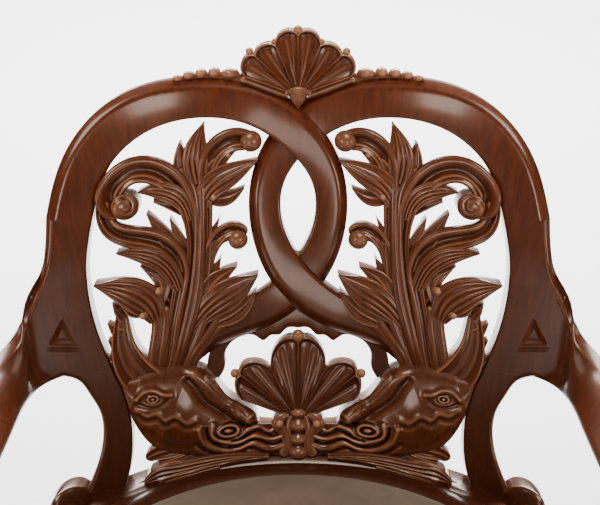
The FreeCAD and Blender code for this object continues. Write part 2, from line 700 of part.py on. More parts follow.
# Support: offsets from the post, height above the rails, half-widths.
SUPPORT = (
    (0, 0, 0, 26, 26),
    (-2, 4, 26, 19, 22),
    (-8, 14, 62, 15, 19),
    (-15, 6, 100, 16, 20),
    (-20, -6, 132, 20, 24),
    (-22, -8, 175, 24, 28),
)
support_stations = [(-post_x + dx, post_y + dy, seat_height + dz, hx, hy) for dx, dy, dz, hx, hy in SUPPORT]
support_solid = post_stack(support_stations, 3.0)
support_cut = support_solid.cut(arm_left)
support_left = min((s for s in support_cut.Solids if s.Volume > 1000), key=lambda s: s.CenterOfMass.z)

# --- legs -----------------------------------------------------------------------------------

rail_low = seat_height - size("rail_depth")
glide = size("glide_height")
# Front leg: outward and forward offset, share of the height up to the rails, half-widths.
FRONT_LEG = (
    (12, 0.0, 20),
    (8, 0.06, 18),
    (-2, 0.16, 14.5),
    (-3, 0.36, 16),
    (3, 0.58, 20),
    (9, 0.78, 27),
    (7, 0.9, 31),
    (0, 1.0, 28),
)
leg_height = rail_low - glide
leg_stations = []
for out, share, half in FRONT_LEG:
    leg_stations.append((-post_x - out, post_y - out, glide + leg_height * share, half, half))
front_stack = post_stack(leg_stations, 4.0)
post_block = primitive(
    "Part::Box",
    "post_block",
    {"x": "-Sizes.opening_radius - Sizes.post_size", "y": POST_FRONT, "z": RAIL_LOW},
    Length="Sizes.post_size",
    Width="Sizes.post_size",
    Height="Sizes.rail_depth",
)
front_leg = union("front_leg_blank", feature("front_leg_turning", front_stack), post_block)

# Rear leg: a sabre that sweeps back from under the rail.
leg_turn = math.radians(size("rear_leg_angle"))
leg_circle = (size("rail_radius") + size("opening_radius")) / 2
leg_out = Vector(-math.sin(leg_turn), math.cos(leg_turn), 0)
leg_side = Vector(-leg_out.y, leg_out.x, 0)
REAR_LEG_STATIONS = 6
rear_wires = []
for i in range(REAR_LEG_STATIONS):
    drop = i / (REAR_LEG_STATIONS - 1)
    half = 24 - 8 * drop
    at = leg_out * (leg_circle + size("rear_leg_splay") * drop ** 2)
    at = at + Vector(0, size("seat_centre_y"), rail_low - leg_height * drop)
    rear_wires.append(oval_wire(at, leg_side * half, leg_out * half, 4.5))
rear_leg_left = Part.makeLoft(rear_wires, True, False)

# --- dowels ---------------------------------------------------------------------------------

dowel_radius = size("dowel_radius")
dowel_length = size("dowel_length")
gap = size("glue_gap")


def dowel(centre, along, radius):
    """A dowel centred on a joint."""
    length = dowel_length + (2 * gap if radius > dowel_radius else 0)
    axis = Vector(along).normalize()
    return Part.makeCylinder(radius, length, Vector(centre) - axis * (length / 2), axis)


def board_point(x, w, behind):
    """A point of the drawing board, set on the chair, at a depth behind the curved face."""
    turn = math.asin(x / bend)
    at = Vector((bend + behind) * math.sin(turn), -bend + (bend + behind) * math.cos(turn), w)
    return lean.multVec(at)


up_board = lean.Rotation.multVec(Vector(0, 0, 1))
scarf = math.radians(90 + size("scarf_angle"))
scarf_mid = (size("rail_radius") + size("opening_radius")) / 2
scarf_y = size("seat_centre_y") + scarf_mid * math.sin(scarf)
scarf_at = Vector(scarf_mid * math.cos(scarf), scarf_y, rail_low + 30)
scarf_along = Vector(-math.sin(scarf), math.cos(scarf), 0)
JOINTS_LEFT = (
    (board_point(-229, ARCH_FOOT, thick / 2), up_board),
    (board_point(-199, -11, 10), up_board),
    (scarf_at + Vector(0, 0, -14), scarf_along),
    (scarf_at + Vector(0, 0, 12), scarf_along),
    (Vector(-post_x, post_y + post_half, rail_low + 16), Vector(0, 1, 0)),
    (Vector(-post_x, post_y + post_half, rail_low + 42), Vector(0, 1, 0)),
    (Vector(-post_x + post_half, post_y, rail_low + 16), Vector(1, 0, 0)),
    (Vector(-post_x + post_half, post_y, rail_low + 42), Vector(1, 0, 0)),
    (Vector(-post_x, post_y, seat_height), Vector(0, 0, 1)),
    (leg_out * leg_circle + Vector(0, size("seat_centre_y"), rail_low), Vector(0, 0, 1)),
)
dowels_left = [dowel(at, along, dowel_radius) for at, along in JOINTS_LEFT]
holes_left = [dowel(at, along, dowel_radius + gap) for at, along in JOINTS_LEFT]
holes = holes_left + [mirrored(hole) for hole in holes_left]
dowel_holes = feature("dowel_holes", Part.makeCompound(holes))

# --- corner blocks, screws and glides -------------------------------------------------------


def corner_block(name, side):
    """A triangular block in a front corner of the seat frame, padded up from its own sketch."""
    body = doc.addObject("PartDesign::Body", name)
    sketch = body.newObject("Sketcher::SketchObject", name + "_sketch")
    plane = next(f for f in body.Origin.OriginFeatures if f.Role == "XY_Plane")
    sketch.AttachmentSupport = [(plane, "")]
    sketch.MapMode = "FlatFace"
    leg = size("block_leg")
    corners = [Vector(0, 0, 0), Vector(-side * leg, 0, 0), Vector(0, leg, 0)]
    for i in range(3):
        sketch.addGeometry(Part.LineSegment(corners[i], corners[(i + 1) % 3]))
    for i in range(3):
        sketch.addConstraint(Sketcher.Constraint("Coincident", i, 2, (i + 1) % 3, 1))
    sketch.addConstraint(Sketcher.Constraint("Coincident", 0, 1, -1, 1))
    sketch.addConstraint(Sketcher.Constraint("Horizontal", 0))
    sketch.addConstraint(Sketcher.Constraint("Vertical", 2))
    across = sketch.addConstraint(Sketcher.Constraint("Distance", 0, leg))
    along = sketch.addConstraint(Sketcher.Constraint("Distance", 2, leg))
    sketch.setExpression(f"Constraints[{across}]", "Sizes.block_leg")
    sketch.setExpression(f"Constraints[{along}]", "Sizes.block_leg")
    pad = body.newObject("PartDesign::Pad", name + "_pad")
    pad.Profile = sketch
    pad.setExpression("Length", "Sizes.block_height")
    corner_x = f"{side} * (Sizes.opening_radius - Sizes.ledge_width)"
    body.setExpression("Placement.Base.x", corner_x)
    body.setExpression("Placement.Base.y", f"Sizes.seat_centre_y - ({POST_BACK})")
    body.setExpression("Placement.Base.z", f"{RAIL_LOW} + 6")
    doc.recompute()
    return body


block_left = corner_block("block_blank", -1)

screw_radius = size("screw_radius")
inner_x = size("opening_radius") - size("ledge_width")
inner_y = size("seat_centre_y") - size("front_reach") + post_half
block_mid = rail_low + 6 + size("block_height") / 2
SCREW_LENGTH = 52.0
SCREW_HEAD = 4.5


def screw(at, along):
    """A countersunk screw: its head is at `at` and it points `along`."""
    axis = Vector(along).normalize()
    head = Part.makeCone(SCREW_HEAD, screw_radius, 3.0, at, axis)
    return head.fuse(Part.makeCylinder(screw_radius, SCREW_LENGTH, at, axis)).removeSplitter()


reach = size("block_leg") / 2
screws_left = [
    screw(Vector(-inner_x + reach, inner_y + reach - 8, block_mid - 6), Vector(0, -1, 0)),
    screw(Vector(-inner_x + reach - 8, inner_y + reach, block_mid + 6), Vector(-1, 0, 0)),
]
screws = screws_left + [mirrored(s) for s in screws_left]

foot_out = FRONT_LEG[0][0]
foot_points = [
    Vector(-post_x - foot_out, post_y - foot_out, 0),
    leg_out * (leg_circle + size("rear_leg_splay")) + Vector(0, size("seat_centre_y"), 0),
]
glides = []
for n, foot in enumerate(foot_points + [Vector(-p.x, p.y, 0) for p in foot_points]):
    disc = primitive(
        "Part::Cylinder", f"glide_disc_{n}", Radius="Sizes.glide_radius", Height="Sizes.glide_height"
    )
    disc.Placement.Base = foot
    glides.append(disc)
leg_glides = doc.addObject("Part::Compound", "glide_set")
leg_glides.Links = glides
doc.recompute()

screw_holes = feature("screw_holes", Part.makeCompound(screws))

# --- pieces of the chair --------------------------------------------------------------------


def node(name, source, *tools):
    """The finished piece: a blank with the holes of its joints taken out."""
    if isinstance(source, Part.Shape):
        source = feature(name + "_blank", source)
    for n, tool in enumerate(tools):
        source = pair("Part::Cut", f"{name}_bored_{n}", source, tool)
    source.Label = name
    return source


nodes = [
    node("arch_left", leaned(arch_left, False), dowel_holes),
    node("arch_right", leaned(arch_right, False), dowel_holes),
    node("upright_left", leaned(upright_left), dowel_holes),
    node("foot_volute_left", leaned(volute_left)),
    node("acanthus_left", leaned(acanthus_left, False)),
    node("dolphin_left", leaned(dolphin_left)),
    node("leaf_spray_left", leaned(spray_left)),
    node("beading_left", leaned(beading_left, False)),
    node("crest_shell", leaned(crest_shell, False)),
    node("lower_shell", leaned(lower_shell, False)),
    node("shell_plinth", leaned(plinth)),
    node("cusped_spandrel", leaned(spandrel, False)),
    node("shoe_rail", leaned(shoe)),
    node("arm_left", arm_left),
    node("arm_support_left", support_left, dowel_holes),
    node("front_leg_left", front_leg, dowel_holes, screw_holes),
    node("rear_leg_left", rear_leg_left, dowel_holes),
    node("seat_rail_back", rail_back, dowel_holes),
    node("seat_rail_left", rail_left, dowel_holes, screw_holes),
    node("seat_rail_front", rail_front, dowel_holes, screw_holes),
    node("corner_block_left", block_left, screw_holes),
    node("frame_dowels", Part.makeCompound(dowels_left + [mirrored(d) for d in dowels_left])),
    node("block_screws", Part.makeCompound(screws)),
    node("leg_glides", leg_glides),
    node("slip_rail_back", slip_back),
    node("slip_rail_front", slip_front),
    node("slip_rail_left", slip_left),
    node("slip_rail_right", slip_right),
    node("seat_webbing", webbing),
    node("seat_stuffing", stuffing),
    node("seat_cover", seat_cover),
    node("dust_cover", dust_cover),
]
for made in list(nodes):
    if made.Label.endswith("_left") and made.Label not in ("arch_left", "slip_rail_left"):
        nodes.append(node(made.Label.replace("_left", "_right"), mirror_of(made.Name + "_twin", made)))
doc.recompute()

for made in doc.Objects:
    if "Invalid" in made.State or "Error" in made.State:
        raise RuntimeError(f"{made.Name} failed to build: {made.State}")
os.makedirs("parts", exist_ok=True)
for made in sorted(nodes, key=lambda piece: piece.Label):
    shape = made.Shape
    if shape.isNull() or not shape.isValid() or not shape.Solids:
        raise RuntimeError(f"{made.Label} has no valid solid")
    print(made.Label, len(shape.Solids), "solids", round(shape.Volume / 1000, 1), "cm3")
    shape.exportStep(f"parts/{made.Label}.step")
everything = Part.makeCompound([made.Shape for made in nodes])
print("overall", everything.BoundBox)
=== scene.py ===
"""Looks of the carved armchair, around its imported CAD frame.

Millimetres on the drawing board of the back (x across, w up its slope, d towards the sitter) become
metres in the chair's frame (+Z up, the sitter faces -Y). Left is the -X side; right is its mirror.
"""

import math

import bpy
import numpy as np
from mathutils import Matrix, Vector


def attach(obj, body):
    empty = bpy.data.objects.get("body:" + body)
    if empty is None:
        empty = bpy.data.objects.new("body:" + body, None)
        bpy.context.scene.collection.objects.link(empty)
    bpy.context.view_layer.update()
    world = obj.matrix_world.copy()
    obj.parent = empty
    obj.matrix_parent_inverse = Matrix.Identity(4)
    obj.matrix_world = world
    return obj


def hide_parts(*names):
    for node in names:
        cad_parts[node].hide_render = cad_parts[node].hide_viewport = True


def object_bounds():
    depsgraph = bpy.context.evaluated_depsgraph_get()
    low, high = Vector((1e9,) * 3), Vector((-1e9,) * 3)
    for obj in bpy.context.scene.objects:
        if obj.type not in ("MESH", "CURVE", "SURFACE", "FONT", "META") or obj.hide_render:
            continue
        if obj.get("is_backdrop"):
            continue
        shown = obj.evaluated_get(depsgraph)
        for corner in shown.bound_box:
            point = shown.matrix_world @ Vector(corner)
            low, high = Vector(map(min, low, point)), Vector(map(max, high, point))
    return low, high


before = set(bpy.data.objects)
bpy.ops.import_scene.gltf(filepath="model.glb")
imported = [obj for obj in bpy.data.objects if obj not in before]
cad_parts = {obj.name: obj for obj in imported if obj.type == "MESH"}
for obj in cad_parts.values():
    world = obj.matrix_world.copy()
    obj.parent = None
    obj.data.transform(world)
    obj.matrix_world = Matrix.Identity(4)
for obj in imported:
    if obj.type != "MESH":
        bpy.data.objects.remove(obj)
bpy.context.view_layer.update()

# --- interlaced arches ------------------------------------------------------------------------
# Two bands of solid mahogany, sawn from curved planks and half-lapped where they cross.
# The left one lies in front at the top crossing and the right one at the lower crossing.

BEND = 335.0  # radius of the back in plan
RAKE = math.radians(12)
SEAT_CENTRE = -72.5
FACE_Y = SEAT_CENTRE + 274.0
SEAT_TOP = 445.0
BACK_THICK = 25.0


def board(x, w, d):
    """Drawing board to chair: bent about an upright axis, leaned back, stood on the seat rails."""
    x, w, d = np.broadcast_arrays(x, w, d)
    y = np.sqrt((BEND - d) ** 2 - x ** 2) - BEND
    across = FACE_Y + w * math.sin(RAKE) + y * math.cos(RAKE)
    up = SEAT_TOP + w * math.cos(RAKE) - y * math.sin(RAKE)
    return np.stack((x, across, up), -1) / 1000


def spline(points, at):
    """Natural cubic spline through the rows of `points`; `at` runs from 0 to 1 along its length."""
    p = np.asarray(points, float)
    gaps = np.linalg.norm(np.diff(p[:, :2], axis=0), axis=1)
    t = np.concatenate(([0.0], np.cumsum(gaps)))
    system, right = np.eye(len(p)), np.zeros_like(p)
    for i in range(1, len(p) - 1):
        system[i, i - 1 : i + 2] = gaps[i - 1], 2 * (gaps[i - 1] + gaps[i]), gaps[i]
        right[i] = 6 * ((p[i + 1] - p[i]) / gaps[i] - (p[i] - p[i - 1]) / gaps[i - 1])
    curl = np.linalg.solve(system, right)
    here = np.asarray(at, float) * t[-1]
    k = np.clip(np.searchsorted(t, here, side="right") - 1, 0, len(p) - 2)
    gap = gaps[k][:, None]
    b = (here - t[k])[:, None] / gap
    a = 1 - b
    return a * p[k] + b * p[k + 1] + ((a ** 3 - a) * curl[k] + (b ** 3 - b) * curl[k + 1]) * gap ** 2 / 6


def slab(front, rear):
    """A closed solid from two grids of points: a face, a back, and the four walls between them."""
    n, m = front.shape[:2]
    ids = np.arange(n * m).reshape(n, m)
    back = ids + n * m

    def quads(a, b, c, e):
        return np.stack((a, b, c, e), -1).reshape(-1, 4)

    faces = [
        quads(ids[:-1, :-1], ids[1:, :-1], ids[1:, 1:], ids[:-1, 1:]),
        quads(back[:-1, :-1], back[:-1, 1:], back[1:, 1:], back[1:, :-1]),
        quads(ids[:-1, 0], back[:-1, 0], back[1:, 0], ids[1:, 0]),
        quads(ids[:-1, -1], ids[1:, -1], back[1:, -1], back[:-1, -1]),
        quads(ids[0, :-1], ids[0, 1:], back[0, 1:], back[0, :-1]),
        quads(ids[-1, :-1], back[-1, :-1], back[-1, 1:], ids[-1, 1:]),
    ]
    return np.concatenate((front.reshape(-1, 3), rear.reshape(-1, 3))), np.concatenate(faces)


CRISP_EDGE = 2.2
HAND_EDGE = 6.0  # where a hand runs along the wood
BEVEL_WIDE, BEVEL_DEEP = 10.0, 7.0


def quarter(gap, radius):
    """How far a face falls at a distance `gap` from its edge, as a quarter round."""
    return np.sqrt(radius ** 2 - np.clip(radius - gap, 0, radius) ** 2) - radius


def bevelled(gap):
    """The same for the broad softened bevel along outer edges."""
    return -BEVEL_DEEP * np.clip(1 - gap / BEVEL_WIDE, 0, 1) ** 1.4


def rounded(t, half, radius):
    """A quarter round at both edges of a strip; t runs from -1 to 1 across it."""
    return quarter(half * (1 - np.abs(t)), radius)


def hump(value, centre, width):
    """A smooth ridge across `value`: 1 at its centre, dying away to both sides."""
    return np.exp(-(((value - centre) / width) ** 2))


def edge_spaced(count):
    """Places from -1 to 1 across a strip, closer together at its edges."""
    return np.sin(np.linspace(-math.pi / 2, math.pi / 2, count))


def ribbon(path, count, profile, rear=BACK_THICK, columns=21, tip=False, under=1.0):
    """A carved strip. Rows of `path`: board point, half-width, lift. `profile(t, s, half)` is its relief.

    A smooth line runs through the rows. Each section across it is as wide as twice the half-width,
    and its face stands off the board by the lift plus the relief; `tip` rounds the far end.
    `under` is the share of its width that is left at the back, where carving is cut away behind.
    """
    s = np.linspace(0, 1, count)
    rows = spline(path, s)
    along = np.gradient(rows[:, :2], axis=0)
    along /= np.linalg.norm(along, axis=1)[:, None] + 1e-9
    half = np.maximum(rows[:, 2], 0.2)
    if tip:
        steps = np.linalg.norm(np.diff(rows[:, :2], axis=0), axis=1)
        rest = np.concatenate((np.cumsum(steps[::-1])[::-1], [0.0]))
        half = half * np.sqrt(np.clip(1 - np.clip(1 - rest / half[-1], 0, 1) ** 2, 0.0004, 1))
    t = edge_spaced(columns)[None, :]
    half = half[:, None]
    x = rows[:, 0, None] - along[:, 1, None] * half * t
    w = rows[:, 1, None] + along[:, 0, None] * half * t
    face = rows[:, 3, None] + profile(t, s[:, None], half)
    tuck = half * t * (1 - under)
    return slab(board(x, w, face), board(x + along[:, 1, None] * tuck, w - along[:, 0, None] * tuck, -rear))


def flipped(parts):
    """The right-hand copy of left-hand parts."""
    return [(v * (-1, 1, 1), f[:, ::-1]) for v, f in parts]


def outward(verts, faces):
    """The faces turned so that the closed part's volume is positive."""
    a, b, c, e = (verts[faces[:, i]] for i in range(4))
    volume = (np.cross(a, b) * c).sum() + (np.cross(a, c) * e).sum()
    return faces if volume > 0 else faces[:, ::-1]


def make_piece(name, parts, material, nodes, body="frame"):
    """One mesh object from closed parts, with its hollows and ridges measured into attributes, for painted
    shade in the grooves and for wear with painted highlights on the ridges.
    """
    verts, faces, start = [], [], 0
    for v, f in parts:
        verts.append(v)
        faces.append(outward(v, f) + start)
        start += len(v)
    verts, faces = np.concatenate(verts), np.concatenate(faces)
    mesh = bpy.data.meshes.new(name)
    mesh.vertices.add(len(verts))
    mesh.vertices.foreach_set("co", verts.astype(np.float32).ravel())
    mesh.loops.add(faces.size)
    mesh.loops.foreach_set("vertex_index", faces.astype(np.int32).ravel())
    mesh.polygons.add(len(faces))
    mesh.polygons.foreach_set("loop_start", np.arange(0, faces.size, 4, dtype=np.int32))
    mesh.validate()
    mesh.update(calc_edges=True)
    measure_hollows(mesh)
    mesh.shade_smooth()
    mesh.set_sharp_from_angle(angle=math.radians(38))
    made = bpy.data.objects.new(name, mesh)
    bpy.context.scene.collection.objects.link(made)
    mesh.materials.append(material)
    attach(made, body)
    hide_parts(*nodes)
    return made


def make_pair(name, parts, material):
    """The left-hand piece and its mirrored copy, each in place of its own node."""
    make_piece("left_" + name, parts, material, [name + "_left"])
    make_piece("right_" + name, flipped(parts), material, [name + "_right"])


def measure_hollows(mesh):
    """Stores `hollow`, 0 on flat or raised wood to 1 in a groove, for painted shade, and a second value, the
    same for ridges, for wear with painted highlights.

    Each is how far a point lies under or over the mean of its neighbours, over their distance squared.
    """
    count = len(mesh.vertices)
    co, normal = np.empty(count * 3, np.float32), np.empty(count * 3, np.float32)
    mesh.vertices.foreach_get("co", co)
    mesh.vertices.foreach_get("normal", normal)
    co, normal = co.reshape(-1, 3), normal.reshape(-1, 3)
    edge = np.empty(len(mesh.edges) * 2, np.int32)
    mesh.edges.foreach_get("vertices", edge)
    one, two = edge.reshape(-1, 2).T
    shared = np.maximum(np.bincount(one, minlength=count) + np.bincount(two, minlength=count), 1)

    def around(values):
        total = np.bincount(one, values[two], count) + np.bincount(two, values[one], count)
        return total / shared

    curve = np.zeros(count)
    for axis in range(3):
        curve += (around(co[:, axis]) - co[:, axis]) * normal[:, axis]
    step = np.linalg.norm(co[one] - co[two], axis=1)
    reach = (np.bincount(one, step, count) + np.bincount(two, step, count)) / shared
    curve = curve / (reach ** 2 + 1e-9) / 230
    for _ in range(2):
        curve = 0.5 * curve + 0.5 * around(curve)
    for label, values in (("hollow", curve), ("worn_and_glinting", -curve)):
        attribute = mesh.attributes.new(label, "FLOAT", "POINT")
        attribute.data.foreach_set("value", np.clip(values, 0, 1).astype(np.float32))


def noise_node(tree, vector, scale, detail=3.0, rough=0.55):
    """A noise texture at that scale over the given coordinates."""
    node = tree.nodes.new("ShaderNodeTexNoise")
    node.inputs["Scale"].default_value = scale
    node.inputs["Detail"].default_value = detail
    node.inputs["Roughness"].default_value = rough
    tree.links.new(vector, node.inputs["Vector"])
    return node.outputs["Fac"]


def mix_node(tree, factor, one, two):
    """A colour mix; factor and colours are sockets or values."""
    node = tree.nodes.new("ShaderNodeMix")
    node.data_type = "RGBA"
    for socket, value in ((node.inputs[0], factor), (node.inputs[6], one), (node.inputs[7], two)):
        if isinstance(value, bpy.types.NodeSocket):
            tree.links.new(value, socket)
        else:
            socket.default_value = value
    return node.outputs[2]


def spread_node(tree, value, low, high, to_low=0.0, to_high=1.0):
    """A map-range from low..high to to_low..to_high, clamped."""
    node = tree.nodes.new("ShaderNodeMapRange")
    tree.links.new(value, node.inputs[0])
    for socket, number in zip(node.inputs[1:5], (low, high, to_low, to_high)):
        socket.default_value = number
    return node.outputs[0]


def bump_node(tree, shader, pattern, strength, distance):
    """Roughens a shader's surface by a pattern."""
    bump = tree.nodes.new("ShaderNodeBump")
    bump.inputs["Strength"].default_value = strength
    bump.inputs["Distance"].default_value = distance
    tree.links.new(pattern, bump.inputs["Height"])
    tree.links.new(bump.outputs["Normal"], shader.inputs["Normal"])


def new_material(name):
    """An empty material with its node tree, its shader and the object's coordinates."""
    material = bpy.data.materials.new(name)
    material.use_nodes = True
    tree = material.node_tree
    coords = tree.nodes.new("ShaderNodeTexCoord").outputs["Object"]
    return material, tree, tree.nodes["Principled BSDF"], coords


# Painted shade falls on the wood between these two heights, growing towards the seat.
SHADE_RAMP_LOW, SHADE_RAMP_HIGH = 0.54, 0.82  # metres: the seat's edge and the crest


def polished_wood(name, dark, light, hollow, worn_and_glinting, wear_and_glint_share, painted_low_shade):
    """Polished hardwood: streaked grain, painted shade in the hollows, wear with painted highlights on the
    ridges, a clear coat.

    Painted shade darkens it more and more from the crest down to the seat.
    """
    material, tree, shader, coords = new_material(name)
    stretch = tree.nodes.new("ShaderNodeMapping")
    stretch.inputs["Scale"].default_value = (3.0, 3.0, 0.35)
    tree.links.new(coords, stretch.inputs["Vector"])
    streaks = noise_node(tree, stretch.outputs["Vector"], 55.0, 5.0, 0.62)
    patches = noise_node(tree, coords, 11.0, 2.0)
    fine = noise_node(tree, stretch.outputs["Vector"], 420.0, 2.0)
    colour = mix_node(tree, spread_node(tree, streaks, 0.36, 0.64), dark, light)
    colour = mix_node(tree, spread_node(tree, patches, 0.35, 0.75, 0.0, 0.3), colour, dark)
    colour = mix_node(tree, spread_node(tree, fine, 0.3, 0.8, 0.0, 0.25), colour, light)
    height = tree.nodes.new("ShaderNodeSeparateXYZ")
    tree.links.new(coords, height.inputs["Vector"])
    # Painted shade: darker towards the seat, mixed towards the hollow colour.
    low_shade_ramp = spread_node(tree, height.outputs["Z"], SHADE_RAMP_LOW, SHADE_RAMP_HIGH, painted_low_shade, 0.0)
    colour = mix_node(tree, low_shade_ramp, colour, hollow)
    # Wear and painted highlight: ridges lighten towards a bright copper. Painted shade: grooves darken almost
    # to black.
    for label, tint, most in (("worn_and_glinting", worn_and_glinting, wear_and_glint_share), ("hollow", hollow, 0.97)):
        attribute = tree.nodes.new("ShaderNodeAttribute")
        attribute.attribute_name = label
        factor = spread_node(tree, attribute.outputs["Fac"], 0.04, 0.55, 0.0, most)
        colour = mix_node(tree, factor, colour, tint)
    tree.links.new(colour, shader.inputs["Base Color"])
    tree.links.new(spread_node(tree, patches, 0.3, 0.7, 0.25, 0.37), shader.inputs["Roughness"])
    shader.inputs["Specular Tint"].default_value = (1.0, 0.66, 0.46, 1)
    shader.inputs["Coat Weight"].default_value = 0.4
    shader.inputs["Coat Roughness"].default_value = 0.14
    bump_node(tree, shader, patches, 0.015, 0.0008)
    return material


# The hollow colour is painted shade, both in the grooves and low on the chair. The ridge colour is wear with
# a painted highlight.
plain_mahogany = polished_wood(
    "mahogany_plain", dark=(0.055, 0.0086, 0.0014, 1), light=(0.115, 0.0195, 0.0028, 1),
    hollow=(0.006, 0.0018, 0.0006, 1), worn_and_glinting=(0.3, 0.085, 0.024, 1), wear_and_glint_share=0.25, painted_low_shade=0.55,
)
carved_mahogany = polished_wood(
    "mahogany_carved", dark=(0.06, 0.0112, 0.0028, 1), light=(0.125, 0.0265, 0.0068, 1),
    hollow=(0.0025, 0.001, 0.0005, 1), worn_and_glinting=(0.46, 0.2, 0.1, 1), wear_and_glint_share=0.75, painted_low_shade=0.25,
)


def band_profile(t, s, half):
    """A nearly flat face: a soft outer edge at t = 1 and a crisp inner edge at t = -1."""
    soft = np.where(t > 0, bevelled(half * (1 - np.abs(t))), rounded(t, half, CRISP_EDGE))
    return 1.4 * (1 - t ** 2) + soft


# Board point, half-width, and lift where the left arch passes over; the right one mirrors the lift.
ARCH = (
    (-229, 283, 21.5, 0), (-212, 340, 22.5, 0), (-190, 368, 23.5, 0), (-161, 386, 23, 0),
    (-101, 396, 20.5, 0), (-42, 386, 21.5, 1.5), (3, 356, 21, 3.5), (31, 311, 17.5, 1),
    (31, 251, 17.5, -1), (5, 201, 20.5, -3.5), (-36, 168, 19.5, -2), (-86, 145, 14.5, -1),
    (-121, 115, 11, -5),
)
arch_over = [ribbon(ARCH, 220, band_profile, tip=True)]
passing_under = [(x, w, half, -lift) for x, w, half, lift in ARCH[:-2]]
arch_under = [ribbon(passing_under + list(ARCH[-2:]), 220, band_profile, tip=True)]
make_piece("left_arch", arch_over, plain_mahogany, ["arch_left"])
make_piece("right_arch", flipped(arch_under), plain_mahogany, ["arch_right"])

# --- uprights ---------------------------------------------------------------------------------
# One plank each, flush with its arch above. The arm leaves its outer edge half-way down, beside a
# sunk pointed panel, and below that it curves in and out again to a volute on the seat rail.

# The plank is as wide at its top as the arch is at its foot, square to the arch's own direction.
first, second = spline(ARCH, np.array([0.0, 0.001]))
step = (second - first)[:2] / np.linalg.norm((second - first)[:2])
shoulder = np.array((step[1], -step[0])) * first[2]
UPRIGHT_INNER = (first[:2] + shoulder, (-214, 234), (-212, 198), (-203, 154), (-191, 119))
UPRIGHT_OUTER = (
    first[:2] - shoulder, (-252.5, 250), (-255, 232), (-256.5, 205), (-257, 165), (-251, 138), (-238, 122),
)
ARM_LEAVES = 0.26  # how far down the plank's outer edge the arm begins
FOOT_INNER = ((-191, 119), (-179, 85), (-174, 51), (-174, 29), (-177, 7), (-185, -20))
FOOT_OUTER = (
    (-238, 122), (-226, 115), (-215, 97), (-206, 77), (-203, 56), (-206, 31), (-214, 7), (-226, -20),
)
PANEL = ((-237, 186), (-250, 160), (-225, 153))  # tip and two base corners of the sunk panel

# Along the arm, in front of the upright: x, distance ahead of the back's face, height over the rails.
ARM_OUTER = (
    (-259, 73, 245), (-265, 83, 233), (-276, 104, 208), (-291, 126, 195), (-316, 185, 190),
    (-330, 265, 188), (-333, 350, 187), (-326, 425, 186), (-314, 478, 180), (-306, 504, 168),
)
ARM_INNER = (
    (-247, 84, 142), (-257, 110, 147), (-263, 140, 150), (-266, 188, 154), (-270, 265, 160),
    (-272, 350, 167), (-265, 425, 170), (-256, 470, 166), (-252, 492, 152),
)
ARM_THICK = 27.0


def line3(points, at):
    """A smooth line in space: the spline runs by distance over all three columns."""
    p = np.asarray(points, float)
    run = np.concatenate(([0.0], np.cumsum(np.linalg.norm(np.diff(p, axis=0), axis=1))))
    return spline(np.column_stack((run, np.zeros(len(p)), p)), at)[:, 2:]


def chair(points):
    """Rows of x, distance ahead, height over the rails, as millimetres in the chair's frame."""
    x, ahead, z = np.moveaxis(np.asarray(points, float), -1, 0)
    return np.stack((x, FACE_Y - ahead, SEAT_TOP + z), -1)


def edge_gap(points, line):
    """Distance of millimetre points from an edge line."""
    flat = points.reshape(-1, 1, 3)
    a, b = line[:-1], line[1:]
    share = np.clip(((flat - a) * (b - a)).sum(2) / ((b - a) ** 2).sum(1), 0, 1)[..., None]
    return np.linalg.norm(flat - a - share * (b - a), axis=2).min(1).reshape(points.shape[:-1])


def sunk_panel(x, w):
    """Depth of the pointed panel: a flat sinking with sloped walls, and a moulded line below its base."""
    tip, left, right = PANEL
    gaps = []
    for (ax, aw), (bx, bw) in ((left, tip), (tip, right), (right, left)):
        gaps.append(((x - ax) * (bw - aw) - (w - aw) * (bx - ax)) / math.hypot(bx - ax, bw - aw))
    line = hump(gaps[2], -4.5, 1.1) * np.clip((15 - np.abs(x - tip[0])) / 4, 0, 1)
    return -2.0 * np.clip(np.min(gaps, axis=0) / 5.0, 0, 1) - 0.6 * line


# The edge lines in space, in millimetres: the arm's root is the lower part of the plank's outer edge,
# and the free edges run on from the wood of the plank into the wood of the arm.
EDGE_POINTS = 400
at = np.linspace(0, 1, EDGE_POINTS)
outer_x, outer_w = spline(UPRIGHT_OUTER, at).T
foot_x, foot_w = spline(FOOT_OUTER, at).T
outer_edge = board(outer_x, outer_w, 0) * 1000
outer_rear = board(outer_x, outer_w, -BACK_THICK) * 1000
leaves = int(ARM_LEAVES * EDGE_POINTS)
arm_root, arm_root_rear = outer_edge[leaves:][::-1], outer_rear[leaves:][::-1]
along_outer = line3(np.concatenate((arm_root[-1:], chair(ARM_OUTER))), at)
along_inner = line3(np.concatenate((arm_root[:1], chair(ARM_INNER))), at)
free_outer = np.concatenate((outer_edge[:leaves:6], along_outer[::4]))
free_hole = np.concatenate(((board(foot_x, foot_w, 0) * 1000)[::-8], along_inner[::4]))


def between(inner, outer, rows, columns):
    """Board points in straight rows from one edge line to the other, with t across and the half-width."""
    a, b = spline(inner, rows)[:, None, :], spline(outer, rows)[:, None, :]
    t = edge_spaced(columns)[None, :]
    mid = (a + b) / 2 + (b - a) / 2 * t[..., None]
    return mid[..., 0], mid[..., 1], t, np.linalg.norm(b - a, axis=2) / 2


def plank(inner, outer, count, columns, crown):
    """A flat-faced board between an inner and an outer edge, its free edges eased."""
    rows = np.linspace(0, 1, count)
    x, w, t, half = between(inner, outer, rows, columns)
    flat = board(x, w, 0) * 1000
    fall = bevelled(edge_gap(flat, free_outer)) + quarter(edge_gap(flat, free_hole), HAND_EDGE)
    fall = fall + rounded(np.minimum(t, 0), half, CRISP_EDGE)
    face = crown * (1 - t ** 2) * np.clip(1 - rows[:, None] / 0.4, 0, 1) + fall + sunk_panel(x, w)
    return slab(board(x, w, face), board(x, w, -BACK_THICK))


